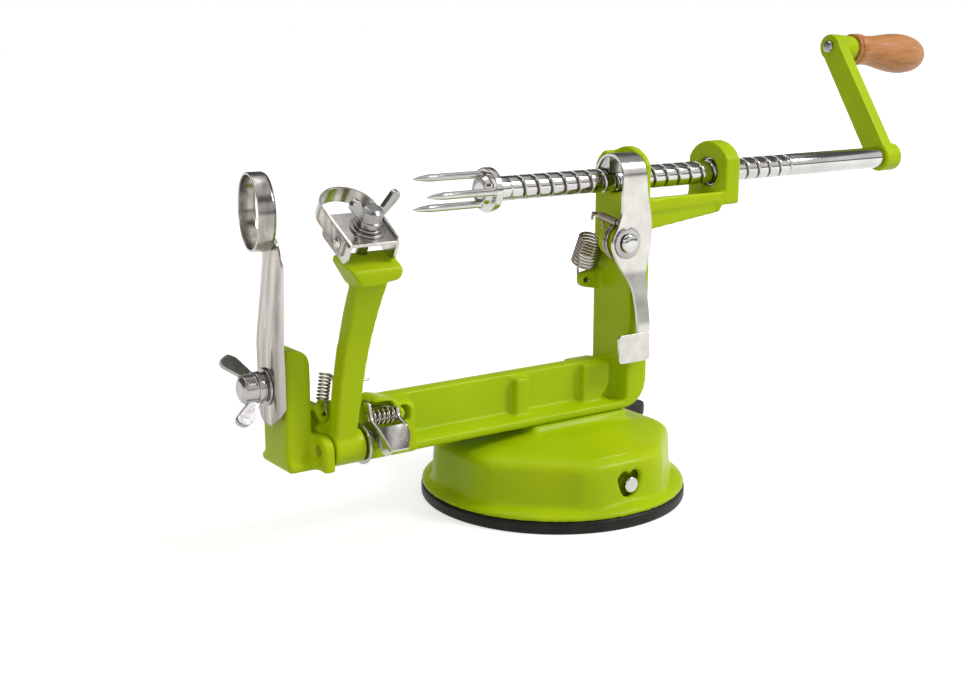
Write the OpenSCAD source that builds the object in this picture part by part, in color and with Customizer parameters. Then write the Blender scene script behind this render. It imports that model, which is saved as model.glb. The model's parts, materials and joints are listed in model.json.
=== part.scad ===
// Hand-cranked apple peeler, corer and slicer on a suction base.
// Origin: centre of the suction pad's underside. +X runs along the feed screw to the crank, +Z is up.

/* [Suction base] */
// Radius of the rubber pad
pad_r = 52.5; // [50:0.5:54]
// Height of the rubber pad at its edge
pad_h = 4.8; // [4:0.1:5.5]
// Distance from the centre to the foot of the cover's side walls
cover_apothem = 47.2; // [46.6:0.1:47.4]
// Half width of the cover's four square sides
cover_side = 17.4; // [16:0.1:18.5]
// Height of the cover's upright walls
cover_wall_z = 22.6; // [21.5:0.1:23]
// Wall thickness of the cover
cover_wall = 3; // [2.6:0.1:3.4]
// Place of the cam shaft along X
cam_x = 2.5; // [2:0.1:3]
// Height of the cam shaft
cam_z = 14; // [13.8:0.1:14.2]
// Radius of the cam shaft
cam_r = 3; // [2.8:0.1:3.1]
// Offset of the eccentric that lifts the pad
cam_throw = 2.13; // [2:0.01:2.2]
// Length of the suction lever from the cam shaft to the end of its grip
lever_reach = 87; // [80:1:92]

/* [Frame] */
// Half width of the pillar and of the bar's foot
half_w = 11.4; // [11:0.1:11.8]
// Underside of the bar
bar_z = 31.6; // [31.6:0.1:31.8]
// Height of the bar's foot flange
foot_h = 3.2; // [3:0.1:3.6]
// Top of the bar's web
web_z = 51.6; // [51:0.1:52]
// Thickness of the bar's web
web_t = 6.6; // [6.2:0.1:7]
// Front face of the front post
post_x = -121.5; // [-122:0.1:-121.5]
// Thickness of the front post along the bar
post_t = 10; // [9:0.5:11]
// Top of the front post
post_z = 75; // [73:0.5:77]
// Front face of the pillar
pillar_x = 28.5; // [28.5:0.1:28.8]
// Thickness of the pillar along the bar
pillar_t = 10.1; // [9.8:0.1:10.4]
// Front face of the rear bearing lug
lug_x = 78.5; // [77:0.5:80]
// Thickness of the rear bearing lug
lug_t = 8.1; // [7.5:0.1:8.1]
// Radius of the bearing lug and of the pillar's top
eye_r = 12.7; // [12.4:0.1:13]

/* [Feed screw] */
// Height of the feed screw's axis
shaft_z = 122.5; // [122.5:0.1:122.6]
// Radius of the feed screw
shaft_r = 4.7; // [4.6:0.05:4.75]
// Lead of the single right-handed thread
pitch = 6.4; // [6.4:0.1:6.5]
// Turns of the thread
turns = 24; // [24:1:24]
// Depth of the thread groove
groove_d = 0.75; // [0.7:0.05:0.8]
// Half width of the groove at the surface
groove_w = 0.75; // [0.7:0.05:0.8]
// Front end of the feed screw
screw_x0 = -30; // [-31:0.5:-29]
// Front face of the crank arm
crank_x = 183; // [182:0.5:184]

/* [Crank] */
// Distance from the screw's axis to the handle
crank_len = 58.2; // [50:0.1:62]
// Angle of the crank arm from upright
crank_lean = 33.6; // [20:0.1:40]
// Thickness of the crank arm
crank_t = 6.6; // [6:0.1:7]
// Droop of the handle's axis
handle_droop = 4.6; // [0:0.1:6]
// Length of the wooden handle
handle_len = 47.7; // [46:0.1:54]

/* [Coring and slicing blade] */
// Outer radius of the coring ring
ring_r = 13.4; // [13:0.1:13.6]
// Height of the ring's centre
ring_z = 121.6; // [121:0.1:122]
// Axial length of the ring
ring_len = 6.2; // [5:0.1:7]
// Turn of the ring about the upright axis
ring_turn = -10; // [-12:0.5:-6]
// Sheet thickness of the blade
blade_t = 1; // [0.8:0.1:1.2]
// Height of the clamping stud
stud_z = 61.8; // [61:0.1:63]
// Offset of the stud and the blade's shank from the screw's plane
stud_y = -2; // [-2.2:0.1:-1]

/* [Peel arm] */
// Distance of the arm's pivot in front of the screw's plane
pivot_y = 12.4; // [12.2:0.1:12.6]
// Height of the arm's pivot
pivot_z = 38.6; // [38.6:0.1:38.8]
// Radius of the arm's barrel
barrel_r = 6.2; // [6:0.1:6.3]
// Tilt of the blade holder
holder_tilt = 28; // [24:0.5:30]
// Extra rise of the peel blade above the holder
hoop_rise = 5; // [4:0.5:8]
// Outer radius of the peel blade's loop
hoop_r = 10.3; // [10.3:0.1:10.6]

/* [Release lever] */
// Thickness of the lever's sheet
sheet = 1.2; // [1:0.1:1.3]
// Place of the lever's screw along X
rock_x = 25; // [24.8:0.1:25.2]
// Height of the lever's screw
rock_z = 99.3; // [99:0.1:99.8]

/* [Hidden] */
$fn = 48;

green = "yellowgreen";
bright = "silver";
dark = "#2b2b2b";
bar_x0 = post_x + post_t;
pillar_x1 = pillar_x + pillar_t;
lug_x1 = lug_x + lug_t;
groove_foot = 0.45;
thread_x = -27.3;
tooth_z = shaft_z + shaft_r - groove_d + 0.3;
running_gap = 0.06;
hood_y = -5;
hood_z = 124.9;
hood_r = 8.6;
plate_y = -12.4;
boss_y = -11.5;
lug_end = -107.1;
lug_r = 5.4;
latch_y = -13.4;
latch_z = 47.6;
holder_origin = [-101, -29, 117.9];
spring_gap = 0.4;
front_r = 2.6;
screw_xs = [-13, 22];
screw_seat_z = 25;
cover_draft = 0.9;

// A corner of an outline: [x, y, radius], turned into the points of its arc
function arc_points(a, b, c) =
    let(
        u = (a - b) / norm(a - b),
        v = (c - b) / norm(c - b),
        half = acos(max(-1, min(1, u * v))) / 2,
        o = b + (u + v) / norm(u + v) * (1 / sin(half)),
        first = b + u / tan(half) - o,
        last = b + v / tan(half) - o,
        start = atan2(first[1], first[0]),
        sweep = (atan2(last[1], last[0]) - start + 540) % 360 - 180
    )
    [for (i = [0:6]) o + [cos(start + sweep * i / 6), sin(start + sweep * i / 6)]];

function corner(a, b, c, r) =
    r == 0 ? [b] : [for (p = arc_points(b + (a - b) / r, b, b + (c - b) / r)) b + (p - b) * r];

function rounded(p) =
    let(n = len(p), at = [for (q = p) [q[0], q[1]]])
    [for (i = [0:n - 1]) each corner(at[(i + n - 1) % n], at[i], at[(i + 1) % n], p[i][2])];

// Tubes of wire swept along points
function tangent(p, i) =
    let(d = p[min(i + 1, len(p) - 1)] - p[max(i - 1, 0)]) d / norm(d);

function across(n, t) = let(d = n - (n * t) * t) d / norm(d);

function normals(p, n0) =
    [for (i = 0, n = across(n0, tangent(p, 0)); i < len(p); i = i + 1, n = across(n, tangent(p, i))) n];

// Points of a coil from c0 to c1: radius r, eight to a turn, starting towards the direction u
function coil(c0, c1, r, turns, u, hand = 1) =
    let(
        axis = (c1 - c0) / norm(c1 - c0),
        e1 = across(u, axis),
        e2 = cross(axis, e1) * hand,
        steps = round(turns * 8)
    )
    [for (i = [0:steps])
        c0 + (c1 - c0) * i / steps + r * (cos(45 * i) * e1 + sin(45 * i) * e2)];

// Least gap between parts of a wire that lie at least five eighths of a turn apart
function least_gap(p, r) =
    min([for (i = [0:len(p) - 6], j = [i + 5:len(p) - 1]) norm(p[i] - p[j])]) - 2 * r;

module wire(p, r, n0 = [0.3, 0.2, 1]) {
    sides = 6;
    count = len(p);
    n = normals(p, n0);
    points = [
        for (i = [0:count - 1], k = [0:sides - 1])
            p[i] + r * (cos(60 * k) * n[i] + sin(60 * k) * cross(tangent(p, i), n[i]))
    ];
    walls = [
        for (i = [0:count - 2], k = [0:sides - 1])
            let(a = i * sides + k, b = i * sides + (k + 1) % sides)
            each [[a, a + sides, b], [b, a + sides, b + sides]]
    ];
    last = (count - 1) * sides;
    ends = [for (k = [1:sides - 2]) each [[0, k, k + 1], [last, last + k + 1, last + k]]];
    polyhedron(points, concat(walls, ends), convexity = 10);
}

// Outlines in (Y, Z) extruded along X, and in (X, Z) extruded along Y
module along_x(x0, x1) {
    translate([x0, 0, 0]) rotate([90, 0, 90]) linear_extrude(x1 - x0) children();
}

module along_y(y0, y1) {
    translate([0, y1, 0]) rotate([90, 0, 0]) linear_extrude(y1 - y0) children();
}

module rod_x(r, x0, x1, y = 0, z = 0) {
    translate([x0, y, z]) rotate([0, 90, 0]) cylinder(r = r, h = x1 - x0);
}

module rod_y(r, y0, y1, x = 0, z = 0) {
    translate([x, y0, z]) rotate([-90, 0, 0]) cylinder(r = r, h = y1 - y0);
}

module block(x0, x1, y0, y1, z0, z1) {
    translate([x0, y0, z0]) cube([x1 - x0, y1 - y0, z1 - z0]);
}

// Eight-sided block: one outline of (distance, height), turned to the four pairs of walls
module eight_sided(outline) {
    corner_in = cover_apothem - (cover_apothem + cover_side) / sqrt(2);
    mirrored = [for (i = [len(outline) - 1:-1:0]) [-outline[i][0], outline[i][1]]];
    cornered = [for (p = outline) [p[0] - corner_in, p[1]]];
    cornered_mirror = [for (i = [len(outline) - 1:-1:0]) [-cornered[i][0], outline[i][1]]];
    reach = 60;
    intersection() {
        along_y(-reach, reach) polygon(concat(outline, mirrored));
        along_x(-reach, reach) polygon(concat(outline, mirrored));
        rotate([0, 0, 45]) along_y(-reach, reach) polygon(concat(cornered, cornered_mirror));
        rotate([0, 0, 45]) along_x(-reach, reach) polygon(concat(cornered, cornered_mirror));
    }
}

// Eye of the pillar and of the rear lug, seen along X
module eye_outline(low) {
    intersection() {
        union() {
            translate([0, shaft_z]) circle(eye_r);
            translate([-eye_r, low]) square([2 * eye_r, shaft_z - low]);
        }
        translate([-half_w, low - 1]) square([2 * half_w, shaft_z + eye_r + 2 - low]);
    }
}

module pillar() {
    difference() {
        intersection() {
            along_x(pillar_x - 8, pillar_x1) eye_outline(bar_z);
            along_y(-half_w, half_w)
                polygon(rounded([
                    [pillar_x - 8, bar_z, 0],
                    [pillar_x1, bar_z + 0.2, 11],
                    [pillar_x1, shaft_z + 20, 0],
                    [pillar_x, shaft_z + 20, 0],
                    [pillar_x, bar_z + foot_h, 1.5],
                    [pillar_x - 8, bar_z + foot_h, 0]
                ]));
        }
        rod_x(shaft_r + 0.4, pillar_x - 1, pillar_x1 + 1, 0, shaft_z);
        // Room for the hood of the release lever
        translate([pillar_x - 1, -hood_r - 10, shaft_z - 4.5]) cube([7.1, 23.8, 30]);
        block(pillar_x - 1, pillar_x + 7, hood_y - 20, -shaft_r - 1, shaft_z - 11, shaft_z + 30);
        rod_y(8.7, -half_w - 1, -6.4, rock_x, rock_z);
    }
    // Boss of the lever's screw, with the half-round ridge that the lever rocks on
    difference() {
        union() {
            rod_y(6, boss_y, -2.4, rock_x, rock_z);
            rod_x(0.85, rock_x - 5.5, rock_x + 5.5, boss_y, rock_z);
        }
        rod_y(2, -13, -2, rock_x, rock_z);
    }
}

module spring_lug() {
    difference() {
        along_y(6.6, 11)
            polygon(rounded([[18.9, 79.4, 2.6], [18.9, 84.8, 2.6], [pillar_x + 1, 86.6, 0], [pillar_x + 1, 77.4, 0]]));
        rod_y(1.3, 6, 12, 21.4, 82);
    }
}

module bar() {
    // Web with slightly drawn sides, standing on a foot flange
    along_x(bar_x0 - 1, pillar_x + 1)
        polygon([
            [-web_t / 2 - 0.4, bar_z + 1], [web_t / 2 + 0.4, bar_z + 1],
            [web_t / 2, web_z], [-web_t / 2, web_z]
        ]);
    along_x(post_x, pillar_x - 6)
        polygon(rounded([
            [-half_w, bar_z, 0.8], [half_w, bar_z, 0.8], [half_w, bar_z + foot_h, 0.8],
            [web_t / 2 + 1, bar_z + foot_h + 1.4, 0], [-web_t / 2 - 1, bar_z + foot_h + 1.4, 0],
            [-half_w, bar_z + foot_h, 0.8]
        ]));
    // Upright ribs on both sides of the web
    rib_y = web_t / 2 + 3.7;
    for (side = [-1, 1]) {
        along_y(side * rib_y / 2 - rib_y / 2, side * rib_y / 2 + rib_y / 2) {
            polygon(rounded([
                [-22.9, bar_z + 3, 0], [-16.6, bar_z + 3, 0], [-16.6, web_z - 1.4, 1], [-22.9, web_z - 1.4, 1]
            ]));
            polygon(rounded([
                [9.9, bar_z + 3, 0], [15, bar_z + 3, 4], [23.6, bar_z + 8, 8], [23.4, web_z - 0.4, 1],
                [9.9, web_z - 0.4, 1]
            ]));
        }
    }
}

module front_post() {
    difference() {
        along_y(-9.25, 9.25)
            polygon(rounded([
                [post_x, bar_z, 0], [bar_x0, bar_z, 0], [bar_x0, post_z - 1, 5], [post_x, post_z - 0.6, 1.2]
            ]));
        rod_x(2, post_x - 1, bar_x0 + 1, stud_y, stud_z);
    }
}

// Lug that holds the arm's pivot pin, and the notched lug of the arm's spring
module pivot_lug() {
    difference() {
        union() {
            rod_x(lug_r, bar_x0, lug_end, -pivot_y, pivot_z);
            block(bar_x0, lug_end, -pivot_y, -2, bar_z, pivot_z + lug_r);
            block(bar_x0, lug_end, -pivot_y - lug_r, -2, bar_z, pivot_z);
            block(bar_x0 - 1, lug_end, -9, -2, bar_z, pivot_z + lug_r);
        }
        rod_x(2.5, bar_x0 + 0.5, lug_end + 1, -pivot_y, pivot_z);
    }
    difference() {
        along_y(-8.6, 0)
            polygon([[-111, 54], [-107.4, 54], [-106, 51.6], [-104.6, 54], [-101.5, 54], [-104.6, 46.8],
                [-107.4, 46.8]]);
        rod_y(0.9, -10, -5, -106, 50.2);
    }
}

// Cast pocket behind the latch, with the ear that holds the latch pin
module latch_block() {
    difference() {
        union() {
            along_x(-93, -71)
                polygon([[0, bar_z], [-11.8, bar_z], [-11.8, 48.6], [-9.5, 50.6], [0, web_z]]);
            along_y(-11.4, 0) polygon([[-93, 50], [-86, 53.8], [-81, 52.6], [-71, 48.4], [-71, 46], [-93, 46]]);
        }
        // Room for the latch and its spring, and the open pocket beside them
        block(-94, -80.1, -20, -4.6, 35.6, 51.6);
        block(-94, -88.2, -20, -9.4, 51, 56);
        block(-80.2, -73.4, -13, -4.6, 43.6, 49.4);
    }
    // The ear that carries the latch pin stands in front of the pocket
    difference() {
        union() {
            along_x(-80, -77.6) polygon([[-4, 42], [latch_y - 2, 45.6], [latch_y - 2, 49.6], [-4, 49]]);
            rod_x(2.6, -80, -77.6, latch_y, latch_z);
        }
        rod_x(1.6, -81, -76, latch_y, latch_z);
    }
}

module rear_arm() {
    difference() {
        union() {
            along_y(-11, 11)
                polygon(rounded([
                    [pillar_x1 - 1, 102.4, 0], [76.4, 106.9, 2], [78, 110, 0], [lug_x + 1, 110, 0],
                    [lug_x + 1, 118.6, 0], [lug_x - 3.4, 116.4, 3], [pillar_x1 - 1, 115, 0]
                ]));
            along_x(lug_x, lug_x1) eye_outline(109.8);
        }
        // The sides are drawn in below the rounded top rib
        for (side = [-1, 1])
            along_y(side * 10.6 - 0.6, side * 10.6 + 0.6)
                polygon([[pillar_x1, 101], [pillar_x1, 109.6], [75.5, 110.9], [75.5, 104]]);
        // The top slopes towards the back
        along_x(pillar_x1, lug_x) polygon([[-12, 115.6], [12, 112], [12, 122], [-12, 122]]);
        rod_x(6.4 + running_gap, lug_x + 1.5, lug_x1 + 1, 0, shaft_z);
        rod_x(5.7, lug_x - 1, lug_x + 2, 0, shaft_z);
    }
}

module frame() {
    color(green)
        difference() {
            union() {
                pillar();
                spring_lug();
                difference() {
                    bar();
                    // Swing room of the arm's barrel
                    rod_x(barrel_r + 0.6, lug_end, -94.2, -pivot_y, pivot_z);
                    block(lug_end, -94.2, -20, -pivot_y + 4.4, bar_z - 1, pivot_z);
                    rod_x(7.8, -95, -92.9, -pivot_y, pivot_z);
                }
                front_post();
                pivot_lug();
                latch_block();
                rear_arm();
            }
            for (x = screw_xs) translate([x, 0, bar_z - 1]) cylinder(r = 2, h = 12);
        }
}

module heart() {
    mid = [cam_x - 1.4, cam_z + 0.8];
    translate(mid) {
        for (side = [-1, 1]) translate([side * 2.5, 2.1]) circle(2.9);
        polygon([[-5.35, 1.6], [-4.2, -2], [4.2, -2], [5.35, 1.6], [3, 3.3], [-3, 3.3]]);
        translate([0, -1]) circle(4.3);
    }
}

module base_cover() {
    color(green)
        difference() {
            union() {
                rotate_extrude($fn = 96)
                    polygon([
                        [30, pad_h + 0.1], [52.35, pad_h + 0.1], [52.35, pad_h + 1.2], [51.4, pad_h + 2],
                        [48.6, pad_h + 3.2], [30, pad_h + 3.2]
                    ]);
                intersection() {
                    eight_sided([
                        [cover_apothem, pad_h + 2], [cover_apothem - cover_draft, cover_wall_z],
                        [cover_apothem - cover_draft - 1, cover_wall_z + 1.3],
                        [cover_apothem - cover_draft - 3.6, cover_wall_z + 2.7], [22, 28.4]
                    ]);
                    // Softens the eight corners
                    rotate_extrude($fn = 96)
                        polygon([
                            [0, pad_h], [cover_apothem + 1.7, pad_h], [cover_apothem + 1.7, pad_h + 2],
                            [cover_apothem + 0.8, cover_wall_z], [cover_apothem - 0.6, cover_wall_z + 1.4],
                            [cover_apothem - 3, cover_wall_z + 2.8], [24, 28.6], [0, 28.6]
                        ]);
                }
                along_x(-18, 29)
                    polygon(rounded([[-12.5, 25, 0], [12.5, 25, 0], [half_w, bar_z, 0.8], [-half_w, bar_z, 0.8]]));
                translate([-33.8, -3, 20]) cylinder(r = 3.8, h = 7);
            }
            eight_sided([
                [cover_apothem - cover_wall, 0], [cover_apothem - cover_wall - cover_draft, cover_wall_z - 1],
                [28, screw_seat_z]
            ]);
            // Heart-shaped window in the front wall and bearings of the cam shaft
            along_y(-cover_apothem - 1, -cover_apothem + cover_wall + cover_draft) heart();
            rod_y(cam_r + running_gap, cover_apothem - cover_wall - cover_draft - 1, cover_apothem + 1, cam_x, cam_z);
            for (x = screw_xs) translate([x, 0, screw_seat_z - 1]) cylinder(r = 2.2, h = 12);
        }
    // Inner bearing of the cam shaft, behind the window
    color(green)
        difference() {
            block(cam_x - 8, cam_x + 8, -cover_apothem + cover_wall + 2.8, -37, pad_h + 1, cover_wall_z + 0.6);
            rod_y(front_r + running_gap, -50, -30, cam_x, cam_z);
        }
}

module cover_screws() {
    color(bright)
        for (x = screw_xs) {
            translate([x, 0, screw_seat_z - 2.6]) cylinder(r = 3.7, h = 2.6);
            translate([x, 0, screw_seat_z - 0.2]) cylinder(r = 2, h = bar_z + 9 - screw_seat_z);
        }
}

module suction_pad() {
    color(dark)
        rotate_extrude($fn = 96)
            polygon([
                [0, 3.2], [22, 2.4], [38, 0.6], [41, 0], [pad_r - 0.6, 0], [pad_r, 0.8], [pad_r, pad_h - 1],
                [pad_r - 0.9, pad_h], [16, pad_h], [15, 7.4], [7.6, 7.4], [7.6, 6.7], [11.4, 6.7], [11.4, 4.3],
                [0, 4.3]
            ]);
}

module pad_stud() {
    lift_z = cam_z + cam_throw;
    slot_h = 5.3 + 0.6;
    color(bright)
        difference() {
            union() {
                translate([0, 0, 4.5]) cylinder(r = 11.1, h = 2);
                along_y(-3, 3)
                    polygon(rounded([
                        [-4.6, 6.4, 0], [4.6, 6.4, 0], [7, 9, 0], [cam_x + 10.4, 10.5, 1.5],
                        [cam_x + 10.4, lift_z + slot_h + 2.4, 4], [cam_x - 10.4, lift_z + slot_h + 2.4, 4],
                        [cam_x - 10.4, 10.5, 1.5], [-7, 9, 0]
                    ]));
            }
            rod_y(slot_h, -4, 4, cam_x - 2, lift_z);
            rod_y(slot_h, -4, 4, cam_x + 2, lift_z);
            block(cam_x - 2, cam_x + 2, -4, 4, lift_z - slot_h, lift_z + slot_h);
        }
}

module cam_shaft() {
    color(bright) {
        rod_y(front_r, -cover_apothem + 1.6, -30, cam_x, cam_z);
        rod_y(cam_r, -36.6, 52.4, cam_x, cam_z);
        rod_y(5.3, -5.4, 5.4, cam_x, cam_z + cam_throw);
        translate([cam_x, -cover_apothem + 1.61, cam_z]) rotate([90, 0, 0])
            cylinder(r1 = front_r, r2 = front_r - 0.7, h = 0.7);
    }
}

module suction_lever() {
    hub_r = 5.6;
    color(dark)
        difference() {
            union() {
                rod_y(hub_r, 48.2, 51.2, cam_x, cam_z);
                along_y(48.2, 51.2)
                    polygon(rounded([
                        [cam_x, cam_z - hub_r, 0], [cam_x + 12, cam_z - 4.8, 3], [cam_x + 26, 7, 6],
                        [cam_x + 74, 6.4, 1], [cam_x + 74, 12.4, 1], [cam_x + 52, 12.4, 10],
                        [cam_x + 26, 14.6, 8], [cam_x + 6, cam_z + 5.2, 3], [cam_x, cam_z + hub_r, 0]
                    ]));
            }
            rod_y(cam_r, 47, 53, cam_x, cam_z);
        }
}

module lever_grip() {
    end_x = cam_x + lever_reach;
    color(dark)
        difference() {
            intersection() {
                along_y(43, 56.4)
                    polygon(rounded([
                        [end_x - 32, 5.9, 1.5], [end_x - 12, 5.9, 6], [end_x + 1, 5.6, 2.8],
                        [end_x + 1, 12, 2.8], [end_x - 12, 13, 6], [end_x - 32, 12.9, 1.5]
                    ]));
                linear_extrude(20)
                    polygon(rounded([
                        [end_x - 32, 46.4, 1.5], [end_x - 14, 45, 8], [end_x, 44.4, 5], [end_x, 55, 5],
                        [end_x - 14, 54.4, 8], [end_x - 32, 53, 1.5]
                    ]));
            }
            block(end_x - 33, cam_x + 74.1, 48.1, 51.3, 6, 12.8);
        }
}

// Places what is drawn about the ring's own axis
module at_ring() {
    translate([post_x - 3.6, 0, ring_z]) rotate([0, 0, ring_turn]) children();
}

module slicing_blade() {
    web_x = post_x - 3.9;
    color(bright)
        difference() {
            union() {
                at_ring() rod_x(ring_r, -ring_len / 2, ring_len / 2);
                intersection() {
                    along_y(-12, 9)
                        polygon([
                            [web_x, 46], [web_x, 76], [web_x + 3.4, 106], [web_x + 3.4, 114],
                            [web_x + 3.4 + blade_t, 114], [web_x + 3.4 + blade_t, 105.9],
                            [web_x + blade_t, 75.9], [web_x + blade_t, 46]
                        ]);
                    along_x(web_x - 5, web_x + 10)
                        polygon(rounded([
                            [stud_y - 8.4, 48.4, 6], [stud_y + 7.6, 48.4, 6], [stud_y + 7.6, 80, 20],
                            [stud_y + 6.6, 113, 1], [stud_y - 7.4, 113, 1], [stud_y - 8.4, 85, 20]
                        ]));
                }
                for (y = [stud_y - 8.4, stud_y + 6.6])
                    along_y(y, y + blade_t)
                        polygon(rounded([
                            [web_x + 0.2, 51.5, 1], [web_x + 3.7, 54, 3], [web_x + 3.7, 70, 6],
                            [web_x + 3.3, 86, 3], [web_x + 5.4, 106.6, 0], [web_x + 3.6, 106.6, 0],
                            [web_x + 0.2, 76, 0]
                        ]));
            }
            at_ring() rod_x(ring_r - blade_t, -20, 20);
            for (z = [-2, 2]) rod_x(2.4, web_x - 2, web_x + 2, stud_y, stud_z + z);
            block(web_x - 2, web_x + 2, stud_y - 2.4, stud_y + 2.4, stud_z - 2, stud_z + 2);
        }
}

module blade_stud() {
    color(bright) {
        rod_x(2, post_x - 11, bar_x0 + 0.1, stud_y, stud_z);
        translate([bar_x0, stud_y, stud_z]) rotate([0, 90, 0]) cylinder(r1 = 4.6, r2 = 3, h = 2);
    }
}

module washer(r, bore, h) {
    difference() {
        cylinder(r = r, h = h);
        translate([0, 0, -1]) cylinder(r = bore, h = h + 2);
    }
}

module blade_washers() {
    color(bright)
        translate([post_x - 3.9 - 0.06, stud_y, stud_z]) rotate([0, -90, 0]) {
            washer(6.6, 2.1, 0.9);
            translate([0, 0, 0.95]) washer(5, 2.1, 1);
        }
}

// Wing nut on the +Z axis: closed hub with a blind bore, and two wings that rise outwards
module wing_nut(hub_r, hub_h, bore, span, rise, wing_w) {
    top_r = hub_r * 0.86;
    difference() {
        union() {
            cylinder(r = hub_r, h = 2.2);
            cylinder(r = top_r, h = hub_h);
            translate([0, 0, hub_h - 0.01]) cylinder(r1 = top_r, r2 = top_r * 0.62, h = 1);
            for (turn = [0, 180])
                rotate([0, 0, turn]) translate([0, 1, 0]) rotate([90, 0, 0])
                    linear_extrude(2)
                        polygon(rounded([
                            [bore + 0.7, 0.8, 0], [hub_r * 0.8, 0.8, 0],
                            [span * 0.86, rise - wing_w * 0.62, 2], [span, rise - 1.5, wing_w * 0.3],
                            [span * 0.8, rise + wing_w * 0.5, wing_w * 0.3], [hub_r * 0.8, hub_h - 0.8, 0],
                            [bore + 0.7, hub_h - 0.8, 0]
                        ]));
        }
        translate([0, 0, -1]) cylinder(r = bore, h = hub_h - 0.2);
    }
}

module front_wing_nut() {
    color(bright)
        translate([post_x - 5.96, stud_y, stud_z]) rotate([0, -90, 0]) rotate([0, 0, 32])
            wing_nut(5.6, 6.6, 2.06, 13.4, 10, 7);
}

// Front face of the stem, a gentle curve that leans away from the fruit
function stem_y(z) = -17.4 - 0.165 * (z - 44) - 0.0047 * pow(max(0, z - 62), 2);

module peel_arm() {
    stem_t = 6.7;
    steps = 12;
    low = 38;
    high = 102;
    front = [for (i = [0:steps]) let(z = low + (high - low) * i / steps) [stem_y(z), z]];
    back = [for (i = [steps:-1:0]) let(z = low + (high - low) * i / steps) [stem_y(z) + stem_t, z]];
    color(green)
        difference() {
            union() {
                rod_x(barrel_r, lug_end + 0.3, -95, -pivot_y, pivot_z);
                intersection() {
                    along_x(-107, -90) polygon(concat(front, back));
                    along_y(-50, 0)
                        polygon([
                            [-106.3, 30], [-98.4, 30], [-98.4, 42], [-96, 76], [-94.2, 98], [-94.2, 104],
                            [-105.5, 104], [-105.5, 80], [-106.3, 56]
                        ]);
                }
                intersection() {
                    along_y(-40, -20)
                        polygon(rounded([
                            [-110.3, 118, 0], [-110.3, 107.2, 2], [-105.2, 98.8, 2], [-96, 98.8, 0],
                            [-95.4, 99.8, 1], [-89.6, 100.4, 2.5], [-89.6, 118, 0]
                        ]));
                    along_x(-112, -89)
                        polygon(rounded([
                            [-34.6, 97.8, 2], [-35.6, 104.5, 2], [-24, 110.5, 2], [-23.6, 101, 4], [-24.2, 91, 0],
                            [-31.4, 91, 0]
                        ]));
                }
                // Lug for the spring's leg
                along_x(-101.4, -97.6)
                    polygon(rounded([[-15, 56, 0], [-6.2, 58, 2], [-6.2, 63.4, 2], [-15, 66, 0]]));
            }
            rod_x(2.5 + running_gap, -112, -94, -pivot_y, pivot_z);
            rod_x(1, -102, -97, -8, 60.6);
            at_holder() translate([1, -1, -30]) cylinder(r = 2, h = 40);
        }
}

module arm_pivot_pin() {
    color(bright) {
        rod_x(2.5, bar_x0 + 0.6, -93.4, -pivot_y, pivot_z);
        translate([-93.5, -pivot_y, pivot_z]) rotate([0, 90, 0]) cylinder(r1 = 4, r2 = 3.4, h = 0.9);
    }
}

module arm_washer() {
    color(bright) translate([-94.7, -pivot_y, pivot_z]) rotate([0, 90, 0]) washer(7.4, 2.6, 1);
}

// Arm spring: hooked low on the frame, its upper leg lies in the arm's lug
arm_wire = 0.4;
arm_coil = coil([-105.9, -6.4, 54.6], [-104.4, -6.4, 64.4], 2, 8, [0, -1, 0]);
arm_path = concat(
    [[-106, -6.2, 50.2], [-106, -8.2, 50.2], [-106, -9.4, 50.8], [-105.9, -9.3, 52.6]],
    arm_coil,
    [[-103.2, -8.5, 64.2], [-102.6, -8.3, 62.2], [-101.9, -8, 60.9], [-98, -8, 60.6], [-92, -8, 60.3],
        [-88, -8, 60.1]]
);

module arm_spring() {
    echo(arm_spring_least_gap = least_gap(arm_coil, arm_wire), wanted = spring_gap);
    color(bright) wire(arm_path, arm_wire);
}

// Places what is drawn about the blade holder's own plate: its top is z = 0
module at_holder() {
    translate(holder_origin) rotate([holder_tilt, 0, 0]) children();
}

module blade_holder() {
    half = 9.5;
    color(bright)
        at_holder()
            difference() {
                union() {
                    translate([-half, -9, -1.2]) cube([2 * half, 17.6, 1.2]);
                    for (side = [-1, 1])
                        translate([side * (half - 0.6) - 0.6, 0, 0])
                            along_x(0, 1.2)
                                polygon(rounded([
                                    [-9, 0, 0], [-8.4, -8.2, 1], [7, -8.2, 2], [8.6, 0, 0]
                                ]));
                }
                for (y = [-1.7, 1.7]) translate([1, -1 + y, -3]) cylinder(r = 2.3, h = 6);
                translate([-1.3, -2.7, -3]) cube([4.6, 3.4, 6]);
                for (side = [-1, 1]) rod_x(1.22, side * half - 2, side * half + 2, -3, -3);
            }
}

// Places what is drawn about the peel blade's rivets
module at_hoop() {
    at_holder() translate([0, -3, -3]) rotate([hoop_rise, 0, 0]) children();
}

module peel_blade() {
    inner = hoop_r - 0.8;
    bend = 14;
    color(bright)
        at_hoop()
            difference() {
                translate([0, 0, -3])
                    linear_extrude(6)
                        difference() {
                            union() {
                                translate([0, bend]) circle(hoop_r);
                                translate([-hoop_r, -3.4]) square([2 * hoop_r, bend + 3.4]);
                            }
                            translate([0, bend]) circle(inner);
                            translate([-inner, -5]) square([2 * inner, bend + 5]);
                        }
                rod_x(1.22, -20, 20);
            }
}

module blade_rivets() {
    color(bright)
        at_hoop()
            for (side = [-1, 1])
                mirror([side < 0 ? 1 : 0, 0, 0]) {
                    rod_x(1.2, 8.3, hoop_r + 0.05);
                    translate([hoop_r, 0, 0]) rotate([0, 90, 0]) cylinder(r1 = 2, r2 = 1.3, h = 0.8);
                    rod_x(1.7, 7.6, 8.3);
                }
}

module peel_bolt() {
    color(bright)
        at_holder()
            translate([1, -1, -15]) cylinder(r = 2, h = 21.1);
}

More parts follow.
